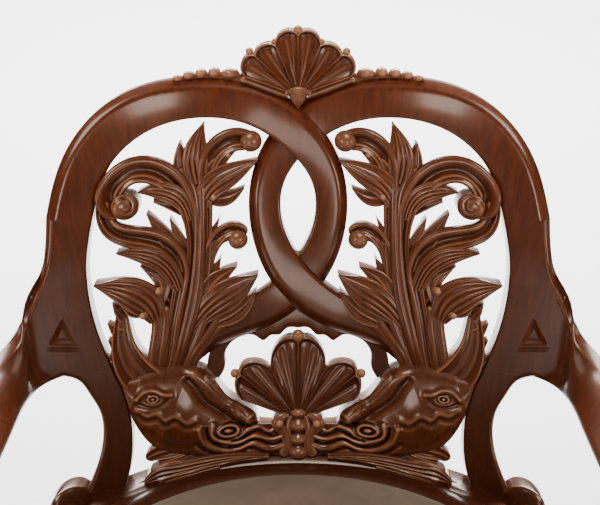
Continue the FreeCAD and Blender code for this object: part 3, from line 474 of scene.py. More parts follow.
def volute(x, w, radius, lift, height, turns, rear, side=1):
    """A rolled scroll end: a domed round boss with a spiral groove cut into it."""
    rho = np.linspace(1, 0.02, 26)[:, None]
    turn = np.linspace(0, 2 * math.pi, 49)[None, :-1]
    spiral = (turn / (2 * math.pi) * side + rho * turns) % 1
    cut = 1.2 * hump(spiral, 0.5, 0.16) * np.clip(rho * 4 - 0.6, 0, 1)
    face = lift + height * (1 - rho ** 2) ** 0.5 - cut
    px, pw = x + radius * rho * np.cos(turn), w + radius * rho * np.sin(turn)
    return tube(np.concatenate((board(px[:1], pw[:1], -rear), board(px, pw, face))))


def tube(rings):
    """A closed solid from rings of points, one row each, capped at both ends."""
    n, k = rings.shape[:2]
    ids = np.arange(n * k).reshape(n, k)
    nxt = np.roll(ids, -1, axis=1)
    sides = np.stack((ids[:-1], nxt[:-1], nxt[1:], ids[1:]), -1).reshape(-1, 4)
    verts = np.concatenate((rings.reshape(-1, 3), rings[0].mean(0)[None], rings[-1].mean(0)[None]))
    # each cap is a fan of four-sided faces about the middle, so k is even
    low = np.stack((ids[0][1::2], ids[0][::2], np.full(k // 2, n * k), nxt[0][1::2]), -1)
    high = np.stack((ids[-1][::2], ids[-1][1::2], nxt[-1][1::2], np.full(k // 2, n * k + 1)), -1)
    return verts, np.concatenate((sides, low, high))


upright = [plank(UPRIGHT_INNER, UPRIGHT_OUTER, 130, 71, 1.4), plank(FOOT_INNER, FOOT_OUTER, 80, 31, 0)]
make_pair("upright", upright, plain_mahogany)
make_pair("foot_volute", [volute(-234, -13, 19, 3, 5, 1.2, BACK_THICK - 6)], plain_mahogany)

# --- arms ---------------------------------------------------------------------------------------
# Each arm leaves the upright as a broad blade on edge, turns flat as it comes forward, and ends in
# a roll over the arm support. Its first section is the upright's own edge, so the two run together.


def fading(s, reach):
    """Weights down the arm that go smoothly from 1 at its root to 0 at `reach`."""
    return (0.5 + 0.5 * np.cos(np.clip(s / reach, 0, 1) * math.pi))[:, None]


def arm_blade():
    """The arm between its two edge lines, thickened straight back at the plank, then along its normal."""
    s = np.linspace(0, 1, 170)
    rows = np.round(s * (EDGE_POINTS - 1)).astype(int)
    outer, inner = along_outer[rows][:, None], along_inner[rows][:, None]
    t = edge_spaced(41)
    spot = np.round((t + 1) / 2 * (len(arm_root) - 1)).astype(int)
    root, behind = arm_root[spot], arm_root_rear[spot]
    t = t[None, :, None]
    mid = (outer + inner) / 2 + (outer - inner) / 2 * t
    mid = mid + (root[None] - mid[:1]) * (np.clip(1 - s / 0.2, 0, 1) ** 2)[:, None, None]
    # it leaves in the direction the bent plank already has, except at its upper edge
    bend = np.sqrt(BEND ** 2 - root[:, 0] ** 2)
    heading = np.column_stack((-bend, root[:, 0] * math.cos(RAKE), -root[:, 0] * math.sin(RAKE))) / BEND
    travel = np.linalg.norm(mid - mid[:1], axis=2)[..., None]
    ease = fading(s, 0.16)[..., None] * (1 - ((t + 1) / 2) ** 7) * np.clip(3 * (t + 1), 0, 1)
    mid = mid + (root + heading * travel - mid) * ease
    normal = np.cross((outer - inner) + 0 * t, np.gradient(mid, axis=0))
    normal /= np.linalg.norm(normal, axis=2)[..., None]
    keep = fading(s, 0.42)[..., None]
    inward = (behind - root) / BACK_THICK * keep - normal * (1 - keep)
    grow = 1 - fading(s, 0.2)
    half = np.linalg.norm(outer - inner, axis=2) / 2
    fall = bevelled(edge_gap(mid, free_outer)) + quarter(edge_gap(mid, free_hole), HAND_EDGE)
    top = mid + normal * (3.0 * (1 - t ** 2) * grow[..., None]) - inward * fall[..., None]
    under = ARM_THICK + (2.0 * (1 - t[..., 0] ** 2) + rounded(t[..., 0], half, 9.0)) * grow - 2 * (1 - grow)
    return slab(top / 1000, (mid + inward * under[..., None]) / 1000)


make_pair("arm", [arm_blade()], plain_mahogany)

# --- acanthus scrollwork ----------------------------------------------------------------------
# Pierced and carved panels inside the arches: reeded stems rise from behind the dolphins and curl
# over into scrolls, with toothed leaves between. Let in behind the face of the arches.

SCROLL_REAR = 22.0


def reed(t, s, half):
    """A half-round stem."""
    return 0.62 * half * (np.sqrt(1 - 0.98 * t ** 2) - 0.5)


def leaf(t, s, half):
    """A hollowed leaf with a raised vein and turned-up rims, fading towards its tip."""
    hollow = -0.34 * half * (1 - t ** 2) * (1 - 0.35 * s)
    vein = 0.3 * half * hump(t, 0, 0.2) * (1 - 0.6 * s)
    return hollow + vein + rounded(t, half, np.minimum(1.6, half * 0.6))


def knob(x, w, radius, lift, deep=0.8, long=1.0):
    """A ball in relief, its depth and length as shares of the radius up the board."""
    up = np.linspace(0.06, math.pi - 0.06, 15)[:, None]
    turn = np.linspace(0, 2 * math.pi, 29)[None, :-1]
    px, pw = x + long * radius * np.sin(up) * np.cos(turn), w + radius * np.sin(up) * np.sin(turn)
    return tube(board(px, pw, lift + deep * radius * np.cos(up)))


def fine_grooves(t, s, places, deep, fade):
    """Narrow grooves along a leaf at the given t, fading out towards its tip."""
    return -deep * sum(hump(t, k, 0.07) for k in places) * np.clip(fade - s, 0, 1)


def veined(t, s, half):
    """A broad smooth leaf: domed, three fine grooves from its root, and a thin raised rim."""
    dome = 0.22 * half * (1 - t ** 2)
    rim = 0.9 * hump(np.abs(t), 0.9, 0.08)
    grooves = fine_grooves(t, s, (-0.42, 0.0, 0.42), 1.3, 1.25)
    return dome + grooves + rim + rounded(t, half, np.minimum(1.4, half * 0.5))


def scroll(t, s, half):
    """A broad scroll: a bold roll on the side t = 1, a deep gouge, and a thin rim on the other side."""
    roll = 0.34 * half * np.sqrt(np.clip(1 - ((t - 0.62) / 0.38) ** 2, 0, 1))
    gouge = -0.3 * half * hump(t, -0.05, 0.3)
    rims = half * (0.16 * hump(t, -0.8, 0.14) + 0.12 * hump(t, -0.45, 0.1))
    return roll + gouge + rims + rounded(t, half, 1.4)


def scroll_back(t, s, half):
    """The same with its roll on the side t = -1."""
    return scroll(-t, s, half)


# Each stroke: relief, then rows of board point, half-width, lift.
ACANTHUS = (
    (scroll_back, (-142, 100, 4, -4), (-136, 125, 5, 0), (-131, 160, 6, 1), (-124, 195, 8, 2),
        (-122, 218, 10, 2), (-132, 239, 12, 3), (-151, 252, 13, 3), (-172, 258, 12, 2), (-189, 267, 10, 1),
        (-197, 284, 8, -1), (-198, 298, 6, -2)),
    (scroll_back, (-134, 100, 4, -4), (-127, 125, 5, 1), (-121, 160, 5.5, 3), (-114, 195, 6, 3),
        (-109, 232, 7, 3), (-110, 268, 9, 4), (-118, 295, 12, 4), (-133, 315, 14, 5), (-153, 326, 14.5, 4),
        (-172, 325, 14, 3), (-187, 313, 13.5, 2), (-192, 299, 13, 1), (-187, 288, 12, 1),
        (-178, 286, 10, 1)),
    (reed, (-133, 100, 4, -4), (-125, 130, 4.2, 3), (-116, 165, 4.2, 5), (-109, 200, 4.2, 6),
        (-105, 240, 4.2, 6), (-105, 280, 4.2, 6), (-109, 305, 3.6, 5), (-122, 325, 2.4, 3)),
    (reed, (-130, 100, 4, -4), (-121, 130, 4.2, 3), (-110, 165, 4.4, 6), (-103, 200, 4.6, 7),
        (-100, 240, 4.4, 7), (-99, 280, 4.2, 6), (-100, 310, 4.2, 5), (-102, 335, 3.2, 4),
        (-99, 362, 0.5, 1)),
    (scroll, (-126, 100, 4, -4), (-116, 130, 4.2, 2), (-105, 165, 4.5, 4), (-98, 200, 5, 5),
        (-95, 240, 5, 4), (-95, 285, 6.5, 4), (-95, 315, 9.5, 4), (-88, 338, 12, 5), (-74, 350, 13, 4),
        (-58, 352, 12, 2), (-46, 347, 10, 0)),
    (reed, (-123, 100, 4, -4), (-111, 130, 4.2, 2), (-99, 160, 4.2, 4), (-94, 190, 4.2, 4),
        (-93, 215, 4, 3), (-88, 235, 4, 3), (-79, 247, 4.2, 2), (-68, 250, 4.2, 1)),
    (scroll, (-100, 196, 4, 1), (-96, 224, 6, 2), (-88, 245, 7.5, 3), (-77, 256, 8, 3), (-65, 258, 7.5, 2),
        (-54, 251, 6, 0)),
    (reed, (-120, 100, 4, -4), (-109, 127, 4.2, 2), (-92, 150, 4.4, 3), (-80, 170, 4.4, 3), (-68, 182, 4, 3)),
    (reed, (-117, 100, 4, -5), (-106, 124, 4, 1), (-90, 145, 4.2, 2), (-72, 160, 4, 2), (-58, 174, 3, 1)),
    (veined, (-112, 152, 6, 2), (-94, 174, 14, 5), (-72, 190, 17, 7), (-42, 208, 0.5, 5)),
    (leaf, (-106, 170, 6, 2), (-96, 196, 9, 3), (-81, 227, 0.5, 1)),
    (leaf, (-99, 182, 7, 6), (-88, 202, 10, 8), (-64, 218, 0.5, 5)),
    (leaf, (-86, 158, 6, 4), (-66, 168, 10, 6), (-44, 190, 0.5, 3)),
    (leaf, (-98, 222, 5, 1), (-92, 247, 5, 2), (-82, 270, 0.4, 0)),
    (veined, (-101, 282, 7, 3), (-92, 302, 13, 5), (-72, 316, 13, 6), (-42, 330, 0.5, 3)),
    (leaf, (-94, 306, 7, 4), (-86, 324, 8, 5), (-66, 339, 0.5, 2)),
    (leaf, (-96, 296, 7, 3), (-78, 291, 9, 4), (-56, 301, 0.5, 1)),
    (veined, (-103, 308, 9, 3), (-106, 338, 13, 5), (-98, 369, 1.5, 1)),
    (leaf, (-108, 302, 9, 1), (-119, 327, 10, 2), (-122, 351, 1.2, -1)),
    (veined, (-112, 270, 6, 3), (-122, 293, 10, 5), (-140, 303, 10, 5), (-164, 303, 0.5, 2)),
    (leaf, (-118, 280, 7, 1), (-131, 289, 8, 1), (-149, 293, 3, -1)),
    (leaf, (-126, 236, 8, 1), (-139, 256, 8, 1), (-156, 280, 0.4, 0)),
    (leaf, (-114, 216, 7, 1), (-122, 245, 7, 1), (-133, 273, 0.4, 0)),
    (veined, (-124, 196, 7, 2), (-136, 222, 10, 4), (-155, 236, 10, 5), (-186, 242, 0.5, 2)),
    (leaf, (-124, 184, 9, 0), (-138, 209, 12, 2), (-163, 226, 1, 0)),
    (leaf, (-126, 150, 6, -3), (-133, 184, 9, -2), (-138, 206, 6, -2)),
    (reed, (-152, 100, 6, -4), (-150, 130, 7, 0), (-146, 158, 7, 1), (-147, 180, 6, 2)),
    (reed, (-145, 100, 4, -4), (-142, 130, 4, 1), (-138, 158, 4, 2), (-138, 180, 3, 2)),
    (veined, (-147, 165, 8, 2), (-156, 186, 17, 5), (-175, 201, 16, 6), (-208, 212, 0.4, 2)),
    (leaf, (-152, 184, 8, 4), (-168, 181, 9, 5), (-182, 194, 0.5, 2)),
    (leaf, (-146, 186, 7, 3), (-142, 204, 8, 4), (-156, 219, 0.5, 1)),
)
KNOBS = (
    (-49, 350, 11.5, 0), (-63, 246, 10.5, 0), (-160, 174, 4.6, 4), (-144, 198, 4.6, 5), (-88, 293, 3.2, 6),
    (-73, 337, 3.2, 4),
)

scrollwork = []
for relief, *rows in ACANTHUS:
    columns = 17 if relief in (reed, leaf) else 31
    rounded_tip = relief not in (leaf, veined)
    scrollwork.append(ribbon(rows, 12 * len(rows), relief, SCROLL_REAR, columns, rounded_tip, under=0.6))
scrollwork.append(volute(-176, 290, 14, 4, 7, 1.1, SCROLL_REAR, side=-1))
scrollwork += [knob(*spot) for spot in KNOBS]
make_pair("acanthus", scrollwork, carved_mahogany)

# --- dolphins ---------------------------------------------------------------------------------
# Carved from the feet of the arches: a domed body, a heavy brow running down to the snout, ringed
# eyes, wavy lips that meet the plinth, and a tall toothed fin that leans on the upright.

CHIN = ((-182, 94), (-174, 64), (-164, 43), (-154, 30), (-140, 21), (-115, 13), (-84, 9), (-41, 8), (-13, 6))
CROWN = (
    (-182, 104), (-152, 112), (-120, 114), (-97, 106), (-84, 90), (-75, 78), (-62, 69), (-50, 61),
    (-44, 53), (-43, 46), (-34, 43), (-24, 42), (-13, 38),
)
# Carved lines on the head: width, height (negative is a groove), then the line.
CREASES = (
    (8.0, 4.6, (-108, 106), (-100, 99), (-92, 90), (-82, 79), (-72, 70), (-61, 61), (-54, 53)),
    (4.4, -3.8, (-116, 99), (-110, 92), (-105, 83), (-98, 74), (-87, 65), (-76, 56), (-68, 50), (-61, 46)),
    (17.0, 3.0, (-118, 62), (-102, 46)),
    (2.2, 2.2, (-97, 102), (-88, 92), (-81, 83), (-71, 74), (-59, 65), (-50, 56)),
    (9.0, 4.0, (-61, 58), (-54, 52)),
    (2.5, -4.7, (-43, 46), (-52, 44), (-60, 46)),
    (2.8, 3.2, (-13, 43), (-22, 42), (-30, 37), (-39, 41), (-47, 43), (-58, 37), (-66, 32)),
    (1.7, -2.8, (-13, 38), (-30, 32), (-46, 37), (-58, 31), (-70, 28)),
    (2.8, 3.2, (-13, 33), (-30, 28), (-47, 32), (-61, 27), (-80, 29), (-90, 37), (-90, 49)),
    (1.7, -2.8, (-13, 27), (-31, 22), (-48, 28), (-62, 22), (-82, 23), (-95, 34), (-97, 46)),
    (3.4, 2.0, (-13, 21), (-33, 16), (-50, 23), (-64, 17), (-86, 19), (-101, 32), (-105, 46)),
    (2.4, -1.6, (-13, 15), (-34, 11), (-50, 17), (-66, 12), (-90, 14), (-108, 28)),
    (3.2, 0.9, (-168, 74), (-157, 67), (-147, 68), (-141, 61), (-130, 64), (-119, 56), (-108, 57)),
    (3.0, -1.1, (-166, 68), (-156, 61), (-147, 62), (-140, 55), (-129, 58), (-118, 50), (-108, 51)),
    (2.8, 1.4, (-168, 86), (-161, 92), (-150, 93), (-141, 88), (-133, 87)),
    (2.4, -1.3, (-166, 80), (-157, 76), (-146, 76), (-137, 81)),
    (5.0, -1.3, (-160, 50), (-146, 38), (-128, 30), (-112, 28)),
)
EYES = ((-74, 40, 12, 7.2, 1.0), (-152, 84, 6.0, 4.2, 0.5))  # place, half-widths, share of the rings
EYE_RINGS = ((2.6, 0.85, 0.16), (-2.6, 0.5, 0.14), (2.8, 0.0, 0.3), (-1.6, 1.25, 0.15))  # height, r, width


def near_line(x, w, line):
    """Distance of board points from a smooth line."""
    knots = spline(np.asarray(line, float), np.linspace(0, 1, 6 * len(line)))
    start, step = knots[:-1], np.diff(knots, axis=0)
    dx, dw = x[..., None] - start[:, 0], w[..., None] - start[:, 1]
    along = np.clip((dx * step[:, 0] + dw * step[:, 1]) / (step ** 2).sum(1), 0, 1)
    return np.hypot(dx - along * step[:, 0], dw - along * step[:, 1]).min(-1)


def head():
    """One domed surface from chin to crown, with its creases, folds and ringed eyes pressed into it."""
    at = np.linspace(0, 1, 260)
    x, w, t, _ = between(CHIN, CROWN, at, 120)
    swell = np.interp(at, (0, 0.1, 0.35, 0.6, 0.75, 1), (4, 9, 15, 13, 8, 6))[:, None]
    face = swell * np.sqrt(np.clip(1 - t ** 2, 0, 1)) - 1
    for width, height, *line in CREASES:
        face = face + height * hump(near_line(x, w, line), 0, width)
    for ex, ew, wide, tall, deep in EYES:
        out = np.hypot((x - ex) / wide, (w - ew) / tall)
        face = face + deep * sum(high * hump(out, r, width) for high, r, width in EYE_RINGS)
    return slab(board(x, w, face), board(x, w, 2.0 - BACK_THICK))


def finned(t, s, half):
    """A fin: hollowed, with fine lines along it and a thin raised rim."""
    rim = 1.2 * hump(np.abs(t), 0.86, 0.1)
    grooves = fine_grooves(t, s, (-0.45, 0.05, 0.5), 1.1, 1.3)
    return grooves + rim - 0.16 * half * (1 - t ** 2) + rounded(t, half, 1.5)


FIN = (
    (-140, 86, 17, 2), (-160, 102, 18, 4), (-174, 122, 16, 4), (-181, 144, 12, 2), (-182, 166, 8, 0),
    (-181, 200, 0.5, -2),
)
CHEEK_LEAF = ((-116, 27, 8, 3), (-134, 23, 9, 4), (-149, 21, 8, 3), (-161, 16, 5, 0))
CHIN_LEAF = ((-116, 17, 4, 3), (-134, 12, 5, 3), (-148, 10, 3.5, 1))
# Root, middle and tip of each tooth along the fin's outer edge.
TEETH = (
    ((-178, 172), (-184, 179), (-191, 190)), ((-180, 152), (-187, 158), (-196, 169)),
    ((-180, 134), (-187, 141), (-196, 151)), ((-179, 116), (-185, 123), (-195, 134)),
    ((-174, 98), (-181, 105), (-190, 116)),
)
dolphin = [
    head(),
    ribbon(FIN, 90, finned, BACK_THICK - 4, 31),
    ribbon(CHEEK_LEAF, 40, leaf, BACK_THICK - 8, 17, tip=True),
    ribbon(CHIN_LEAF, 30, leaf, BACK_THICK - 8, 15),
]
dolphin += [
    ribbon(((*root, 7, 0), (*middle, 5.5, 0), (*tip, 0.4, -2)), 14, leaf, BACK_THICK - 8, 11)
    for root, middle, tip in TEETH
]
make_pair("dolphin", dolphin, carved_mahogany)

# --- shells -----------------------------------------------------------------------------------
# Two scallops: one on the crest with its foot let in between the arches, one over the plinth.
# Each is six dished lobes that share their ridges, with rolled rims and fine ribs.

def scallop(root, lobes, rear, lift, rib):
    """A shell of lobes about `root`: each has its angles from upright, the radii there, and its bulge.

    Each lobe is a fan of points by angle and radius. Its face is a shallow arch outwards, with ridges
    along its sides, a rolled rim, a dished middle and three fine ribs.
    """
    left = []
    for start, end, near, far, bulge in lobes:
        t = edge_spaced(37)[None, :]
        s = 1 - (1 - np.linspace(0, 1, 64)[:, None]) ** 1.6
        angle = np.radians(start + (end - start) * (t + 1) / 2)
        length = near + (far - near) * (t + 1) / 2 + bulge * np.sqrt(1 - t ** 2)
        r = 4 + (length - 4) * s
        half = np.radians(end - start) / 2 * r
        to_end = (length - r) + 0.01
        to_side = half * (1 - np.abs(t))
        ridge = 2.6 * hump(to_side, 0, 1.7) * np.clip(s * 4, 0, 1)
        rim = 2.6 * hump(to_end, 2.6, 2.0)
        dish = -0.3 * half * (1 - t ** 2) * np.clip(to_end / 4, 0, 1)
        ribs = rib * np.cos(t * math.pi * 3) * (np.abs(t) < 0.78) * np.clip((to_end - 5) / 8, 0, 1)
        edge = 1.1 * quarter(to_end, 2.0)
        if end == lobes[-1][1]:
            edge = edge + 1.1 * quarter(half * (1 - t), 2.0) * (t > 0)
        face = lift + 3.5 * np.sin(math.pi * s ** 0.7) + np.maximum(ridge, rim) + dish + ribs + edge
        x, w = root[0] - r * np.sin(angle), root[1] + r * np.cos(angle)
        left.append(slab(board(x, w, face), board(x, w, -rear)))
    return left + flipped(left)


CREST_LOBES = ((0, 23.9, 62, 57, 9.5), (23.9, 47, 57, 61.5, 6), (47, 70, 61.5, 57, 9.5))
CREST_STRIP = ((-10, 397, 3, 3), (-26, 403, 4, 3), (-44, 410, 4, 2), (-59, 415, 3, 1))
crest = scallop((0, 397), CREST_LOBES, BACK_THICK - 4, 2, 0.35)
beside = [
    knob(-50, 443, 4.2, -1),
    knob(-24, 453, 3.4, 0),
    ribbon(CREST_STRIP, 30, reed, BACK_THICK - 4, 15, tip=True),
]
crest += beside + flipped(beside)
crest += [
    knob(0, 465, 4.8, 1),
    ribbon(((-13, 400, 2.2, 6), (0, 403.5, 3.4, 8), (13, 400, 2.2, 6)), 24, reed, 8, 13),
    ribbon(((0, 401, 11, 5), (0, 392, 7, 4), (0, 384, 0.5, 2)), 20, reed, 8, 17),
]
make_piece("crest_scallop", crest, carved_mahogany, ["crest_shell"])

FAN_LOBES = ((0, 27, 84, 60, 16), (27, 50, 60, 80, 13), (50, 69, 80, 64, 7))
fan = scallop((0, 48), FAN_LOBES, BACK_THICK - 8, 2, 0.55)
fan += [knob(0, 141, 7, 3), knob(-67, 101, 5.2, 1), knob(67, 101, 5.2, 1)]
make_piece("lower_scallop", fan, carved_mahogany, ["lower_shell"])

# --- beading ----------------------------------------------------------------------------------
# A row of dying beads on a thin strip along the top of each arch, beside the crest shell.

# Board point, half-length, half-height.
BEADS = (
    (-70, 420, 9.5, 6), (-86, 421.5, 6.6, 5.8), (-99.5, 421, 6.4, 5.2), (-112, 419.5, 6.2, 4.6),
    (-123, 417, 5.4, 3.6),
)
BEAD_STRIP = ((-57, 414, 4.5, -5), (-75, 417, 3.5, -5), (-100, 418, 2.5, -5), (-127, 415, 1.5, -6))
beading = [knob(x, w, high, -6, 1.2, long / high) for x, w, long, high in BEADS]
beading.append(ribbon(BEAD_STRIP, 30, reed, BACK_THICK - 6, 11))
make_pair("beading", beading, carved_mahogany)

# --- plinth, cusped spandrel, shoe and leaf sprays ----------------------------------------------
# Stacked turned rings under the lower shell; a thin cusped plate let in behind the crossing; and
# along the seat rail a curved shoe with a feathered leaf lying on it towards each upright.

# Height up the board and radius of the turned column.
PLINTH = (
    (60, 0.4), (59, 8), (54, 9.5), (50, 7), (45, 10), (38, 10.5), (33, 6.5), (29, 9), (23, 9.5), (19, 6.5),
    (15, 10), (9, 11), (5, 9), (4, 0.4),
)
CHEEK_SCROLL = (
    (-10, 52, 3, 5), (-17, 51, 5.5, 7), (-22, 45, 6.5, 8), (-18, 37, 5, 7), (-14, 28, 4, 6),
    (-13, 18, 4.5, 6), (-17, 7, 6, 5),
)
CHEEK_REED = ((-8, 52, 2.5, 3), (-11, 40, 3, 4), (-9, 26, 2.6, 4), (-9, 12, 3, 3))
turned = spline(PLINTH, np.linspace(0, 1, 90))
turn = np.linspace(0, 2 * math.pi, 33)[None, :-1]
w, radius = turned[:, :1], turned[:, 1:]
plinth = [tube(board(radius * np.cos(turn), w, radius * np.sin(turn) - 1))]
cheek = [
    ribbon(CHEEK_SCROLL, 70, reed, 12, 17, tip=True),
    ribbon(CHEEK_REED, 40, reed, 12, 13),
    knob(-20, 45, 4.2, 9),
]
plinth += cheek + flipped(cheek)
plinth.append(ribbon(((0, 55, 14, -4), (0, 30, 15, -4), (0, 6, 17, -4)), 12, reed, 14, 9))
make_piece("turned_plinth", plinth, carved_mahogany, ["shell_plinth"])

# Lower and upper edge of the plate's left half.
CUSPS = (
    (-84, 94), (-78, 106), (-78, 119), (-72, 131), (-60, 138), (-46, 138), (-37, 132.5), (-29, 138),
    (-20, 138.5), (-13, 145), (0, 146),
)
SPUR = ((-97, 98), (-96, 117), (-90, 132), (-74, 152), (-45, 170), (-20, 186), (0, 196))
at = np.linspace(0, 1, 70)
low, high = spline(CUSPS, at)[:, None, :], spline(SPUR, at)[:, None, :]
t = np.linspace(0, 1, 15)[None, :, None]
plate = low + (high - low) * t
edge = -9 - 2.5 * np.exp(-t[..., 0] / 0.06)
plate = [slab(board(plate[..., 0], plate[..., 1], edge), board(plate[..., 0], plate[..., 1], -23.0))]
make_piece("spandrel_plate", plate + flipped(plate), plain_mahogany, ["cusped_spandrel"])


def feathered(t, s, half):
    """A leaf's surface: three rolled veins with hollows between them."""
    veins = sum(hump(t, k * (0.4 + 0.6 * s), 0.13) for k in (-0.62, 0.0, 0.62))
    return 1.9 * veins - 0.8 + rounded(t, half, 1.6)


LONG_LEAF = (
    (-32, 8, 3, 8), (-66, 8, 6, 10), (-100, 5, 8, 11), (-130, 1, 9, 10), (-150, -2, 8, 7), (-162, -8, 2, 4),
)
LOW_LEAF = ((-84, 1, 3, 11), (-112, -4, 5, 12), (-138, -9, 5, 10), (-156, -15, 1.5, 6))
HIGH_LEAF = ((-118, 6, 4, 9), (-138, 6, 5, 8), (-156, 4, 1, 5))
spray = [
    ribbon(LONG_LEAF, 90, feathered, 14, 31),
    ribbon(LOW_LEAF, 60, leaf, 14, 17),
    ribbon(HIGH_LEAF, 30, leaf, 14, 13),
]
make_pair("leaf_spray", spray, carved_mahogany)

SHOE = (
    (-186, -22, 9, 6), (-140, -12, 9, 9), (-70, -4, 9, 10), (0, -2, 9, 10), (70, -4, 9, 10), (140, -12, 9, 9),
    (186, -22, 9, 6),
)
shoe = [ribbon(SHOE, 120, band_profile, BACK_THICK, 17)]
make_piece("curved_shoe", shoe, plain_mahogany, ["shoe_rail"])

# --- seat frame ---------------------------------------------------------------------------------
# Four rails that meet at scarfs and front posts. A rolled rim runs round the drop-in seat, with a
# quirk outside it, then a flat shelf that carries the back, and a moulded outer face.

OPENING = 238.0
RAIL_OUT = 308.0
POST = 62.0
POST_BACK = 169.0
SCARF = math.radians(52)
# Section from the inside bottom, up over the rim and down the outer face: share of the width, height.
RIM = (
    (0, 0), (0, 1.5), (0.05, 4), (0.13, 5.6), (0.23, 6), (0.33, 5), (0.4, 2.6), (0.43, -0.6), (0.47, -0.8),
    (0.52, 0.6), (0.58, 1), (0.92, 0.6), (0.97, -0.8), (1, -4),
)
FACE = ((1, -9), (0.985, -11), (0.985, -40), (1, -43), (1, -50), (0.97, -57), (0.94, -60))
REBATE = 14.0  # the ledge under the drop-in seat
FRONT_BOW = 1400.0


def rail_section(inner, outer):
    """Distances out and heights round a rail's moulded section, given its inner and outer lines."""
    profile = [(inner + (outer - inner) * s, z) for s, z in RIM + FACE]
    ledge = [(inner - REBATE, -60), (inner - REBATE, -18), (inner, -18)]
    return np.array(ledge + profile).T


def in_chair(x, y, z):
    """Points of the chair's frame in metres, from millimetres."""
    return np.stack(np.broadcast_arrays(x, y, z), -1) / 1000


def arc_rail(start, end, count):
    """A rail round the rear of the seat, between two angles from straight back."""
    turns = np.linspace(start, end, count)[:, None]
    out, z = rail_section(OPENING, RAIL_OUT)
    return in_chair(out * np.sin(turns), out * np.cos(turns) + SEAT_CENTRE, SEAT_TOP + z)


def side_rail():
    """The left rail: round from the scarf to the widest point, then straight to the front post."""
    out, z = rail_section(OPENING, RAIL_OUT)
    straight = rail_section(OPENING, OPENING + POST)[0]
    share = np.linspace(0, 1, 30)[1:, None]
    run = in_chair(-(out + (straight - out) * share), SEAT_CENTRE - share * POST_BACK, SEAT_TOP + z)
    return np.concatenate((arc_rail(-SCARF, -math.pi / 2, 40), run))


def even(rings):
    """The rings with one more point each if their count is odd, as tube() needs."""
    if rings.shape[1] % 2:
        rings = np.concatenate((rings, (rings[:, -1:] + rings[:, :1]) / 2), axis=1)
    return rings


def front_rail():
    """Between the front posts, bowed forward, with the rim along its rear edge."""
    x = np.linspace(-OPENING, OPENING, 61)[:, None]
    bow = SEAT_CENTRE - 249.0 + FRONT_BOW - np.sqrt(FRONT_BOW ** 2 - x ** 2)
    out, z = rail_section(0.0, 1.0)
    inner = SEAT_CENTRE - POST_BACK - REBATE
    y = np.where(out < 0, inner + REBATE, inner + (bow - inner) * out)
    return in_chair(x, y, SEAT_TOP + z)


back_rail = [tube(even(arc_rail(-SCARF, SCARF, 110)))]
left_rail = [tube(even(side_rail()))]
make_piece("rear_seat_rail", back_rail, plain_mahogany, ["seat_rail_back"])
make_piece("left_seat_rail", left_rail, plain_mahogany, ["seat_rail_left"])
make_piece("right_seat_rail", flipped(left_rail), plain_mahogany, ["seat_rail_right"])
make_piece("front_seat_rail", [tube(even(front_rail()))], plain_mahogany, ["seat_rail_front"])

# --- arm supports and legs ----------------------------------------------------------------------
# Supports stand on the front posts and swell under the arms. Front legs are plain cabriole legs;
# the rear legs are sabre legs that sweep back from under the rear rail. Steel glides below.

POST_X = OPENING + POST / 2
POST_Y = SEAT_CENTRE - 200.0
RAIL_LOW = SEAT_TOP - 60.0
GLIDE = 3.0
LEG = RAIL_LOW - GLIDE


def squared(x, y, z, half_x, half_y, square, count=32):
    """Level rings of superellipse section: centres and half-widths, then how square they are."""
    a = np.linspace(0, 2 * math.pi, count + 1)[None, :-1]
    c = np.sign(np.cos(a)) * np.abs(np.cos(a)) ** (2 / square)
    s = np.sign(np.sin(a)) * np.abs(np.sin(a)) ** (2 / square)
    x, y, z, half_x, half_y = (np.reshape(v, (-1, 1)) for v in (x, y, z, half_x, half_y))
    return in_chair(x + half_x * c, y + half_y * s, z)


def up_along(heights, rows, count):
    """The rows' columns, drawn as smooth lines over the given heights."""
    lines = np.column_stack((heights, np.zeros(len(rows)), rows))
    return spline(lines, np.linspace(0, 1, count))[:, 2:].T


# Offsets from the post, height over the rails, half-widths side to side and front to back.
SUPPORT = np.array((
    (0, 0, 0, 27, 27), (0, 0, 8, 27, 27), (-1, 2, 14, 21, 23), (-2, 4, 28, 18.5, 21), (-8, 14, 62, 15, 18.5),
    (-15, 6, 100, 16, 20), (-20, -6, 132, 20, 24), (-22, -8, 162, 24, 28),
))
side, ahead, z, half_x, half_y = up_along(SUPPORT[:, 2], SUPPORT, 70)
support = [tube(squared(side - POST_X, ahead + POST_Y, z + SEAT_TOP, half_x, half_y, 3.0))]
make_pair("arm_support", support, plain_mahogany)

# Offset outward and forward, height as a share of the leg, half-width.
FRONT_LEG = np.array((
    (12, 0.0, 20), (10, 0.03, 20.5), (7, 0.07, 17.5), (-2, 0.16, 14.5), (-3, 0.36, 16), (3, 0.58, 20),
    (9, 0.78, 27), (7, 0.9, 31), (2, 0.97, 31), (0, 1.0, 31),
))
out, share, half = up_along(FRONT_LEG[:, 1] * LEG, FRONT_LEG, 110)
front_leg = [tube(squared(-POST_X - out, POST_Y - out, GLIDE + share * LEG, half, half, 3.6))]
post_z = np.array((RAIL_LOW, RAIL_LOW + 1, SEAT_TOP - 2, SEAT_TOP + 1.0, SEAT_TOP + 1.6))
post_half = (30.5, 31, 31, 30, 28)
front_leg.append(tube(squared(-POST_X, POST_Y, post_z, post_half, post_half, 14.0, 64)))
make_pair("front_leg", front_leg, plain_mahogany)

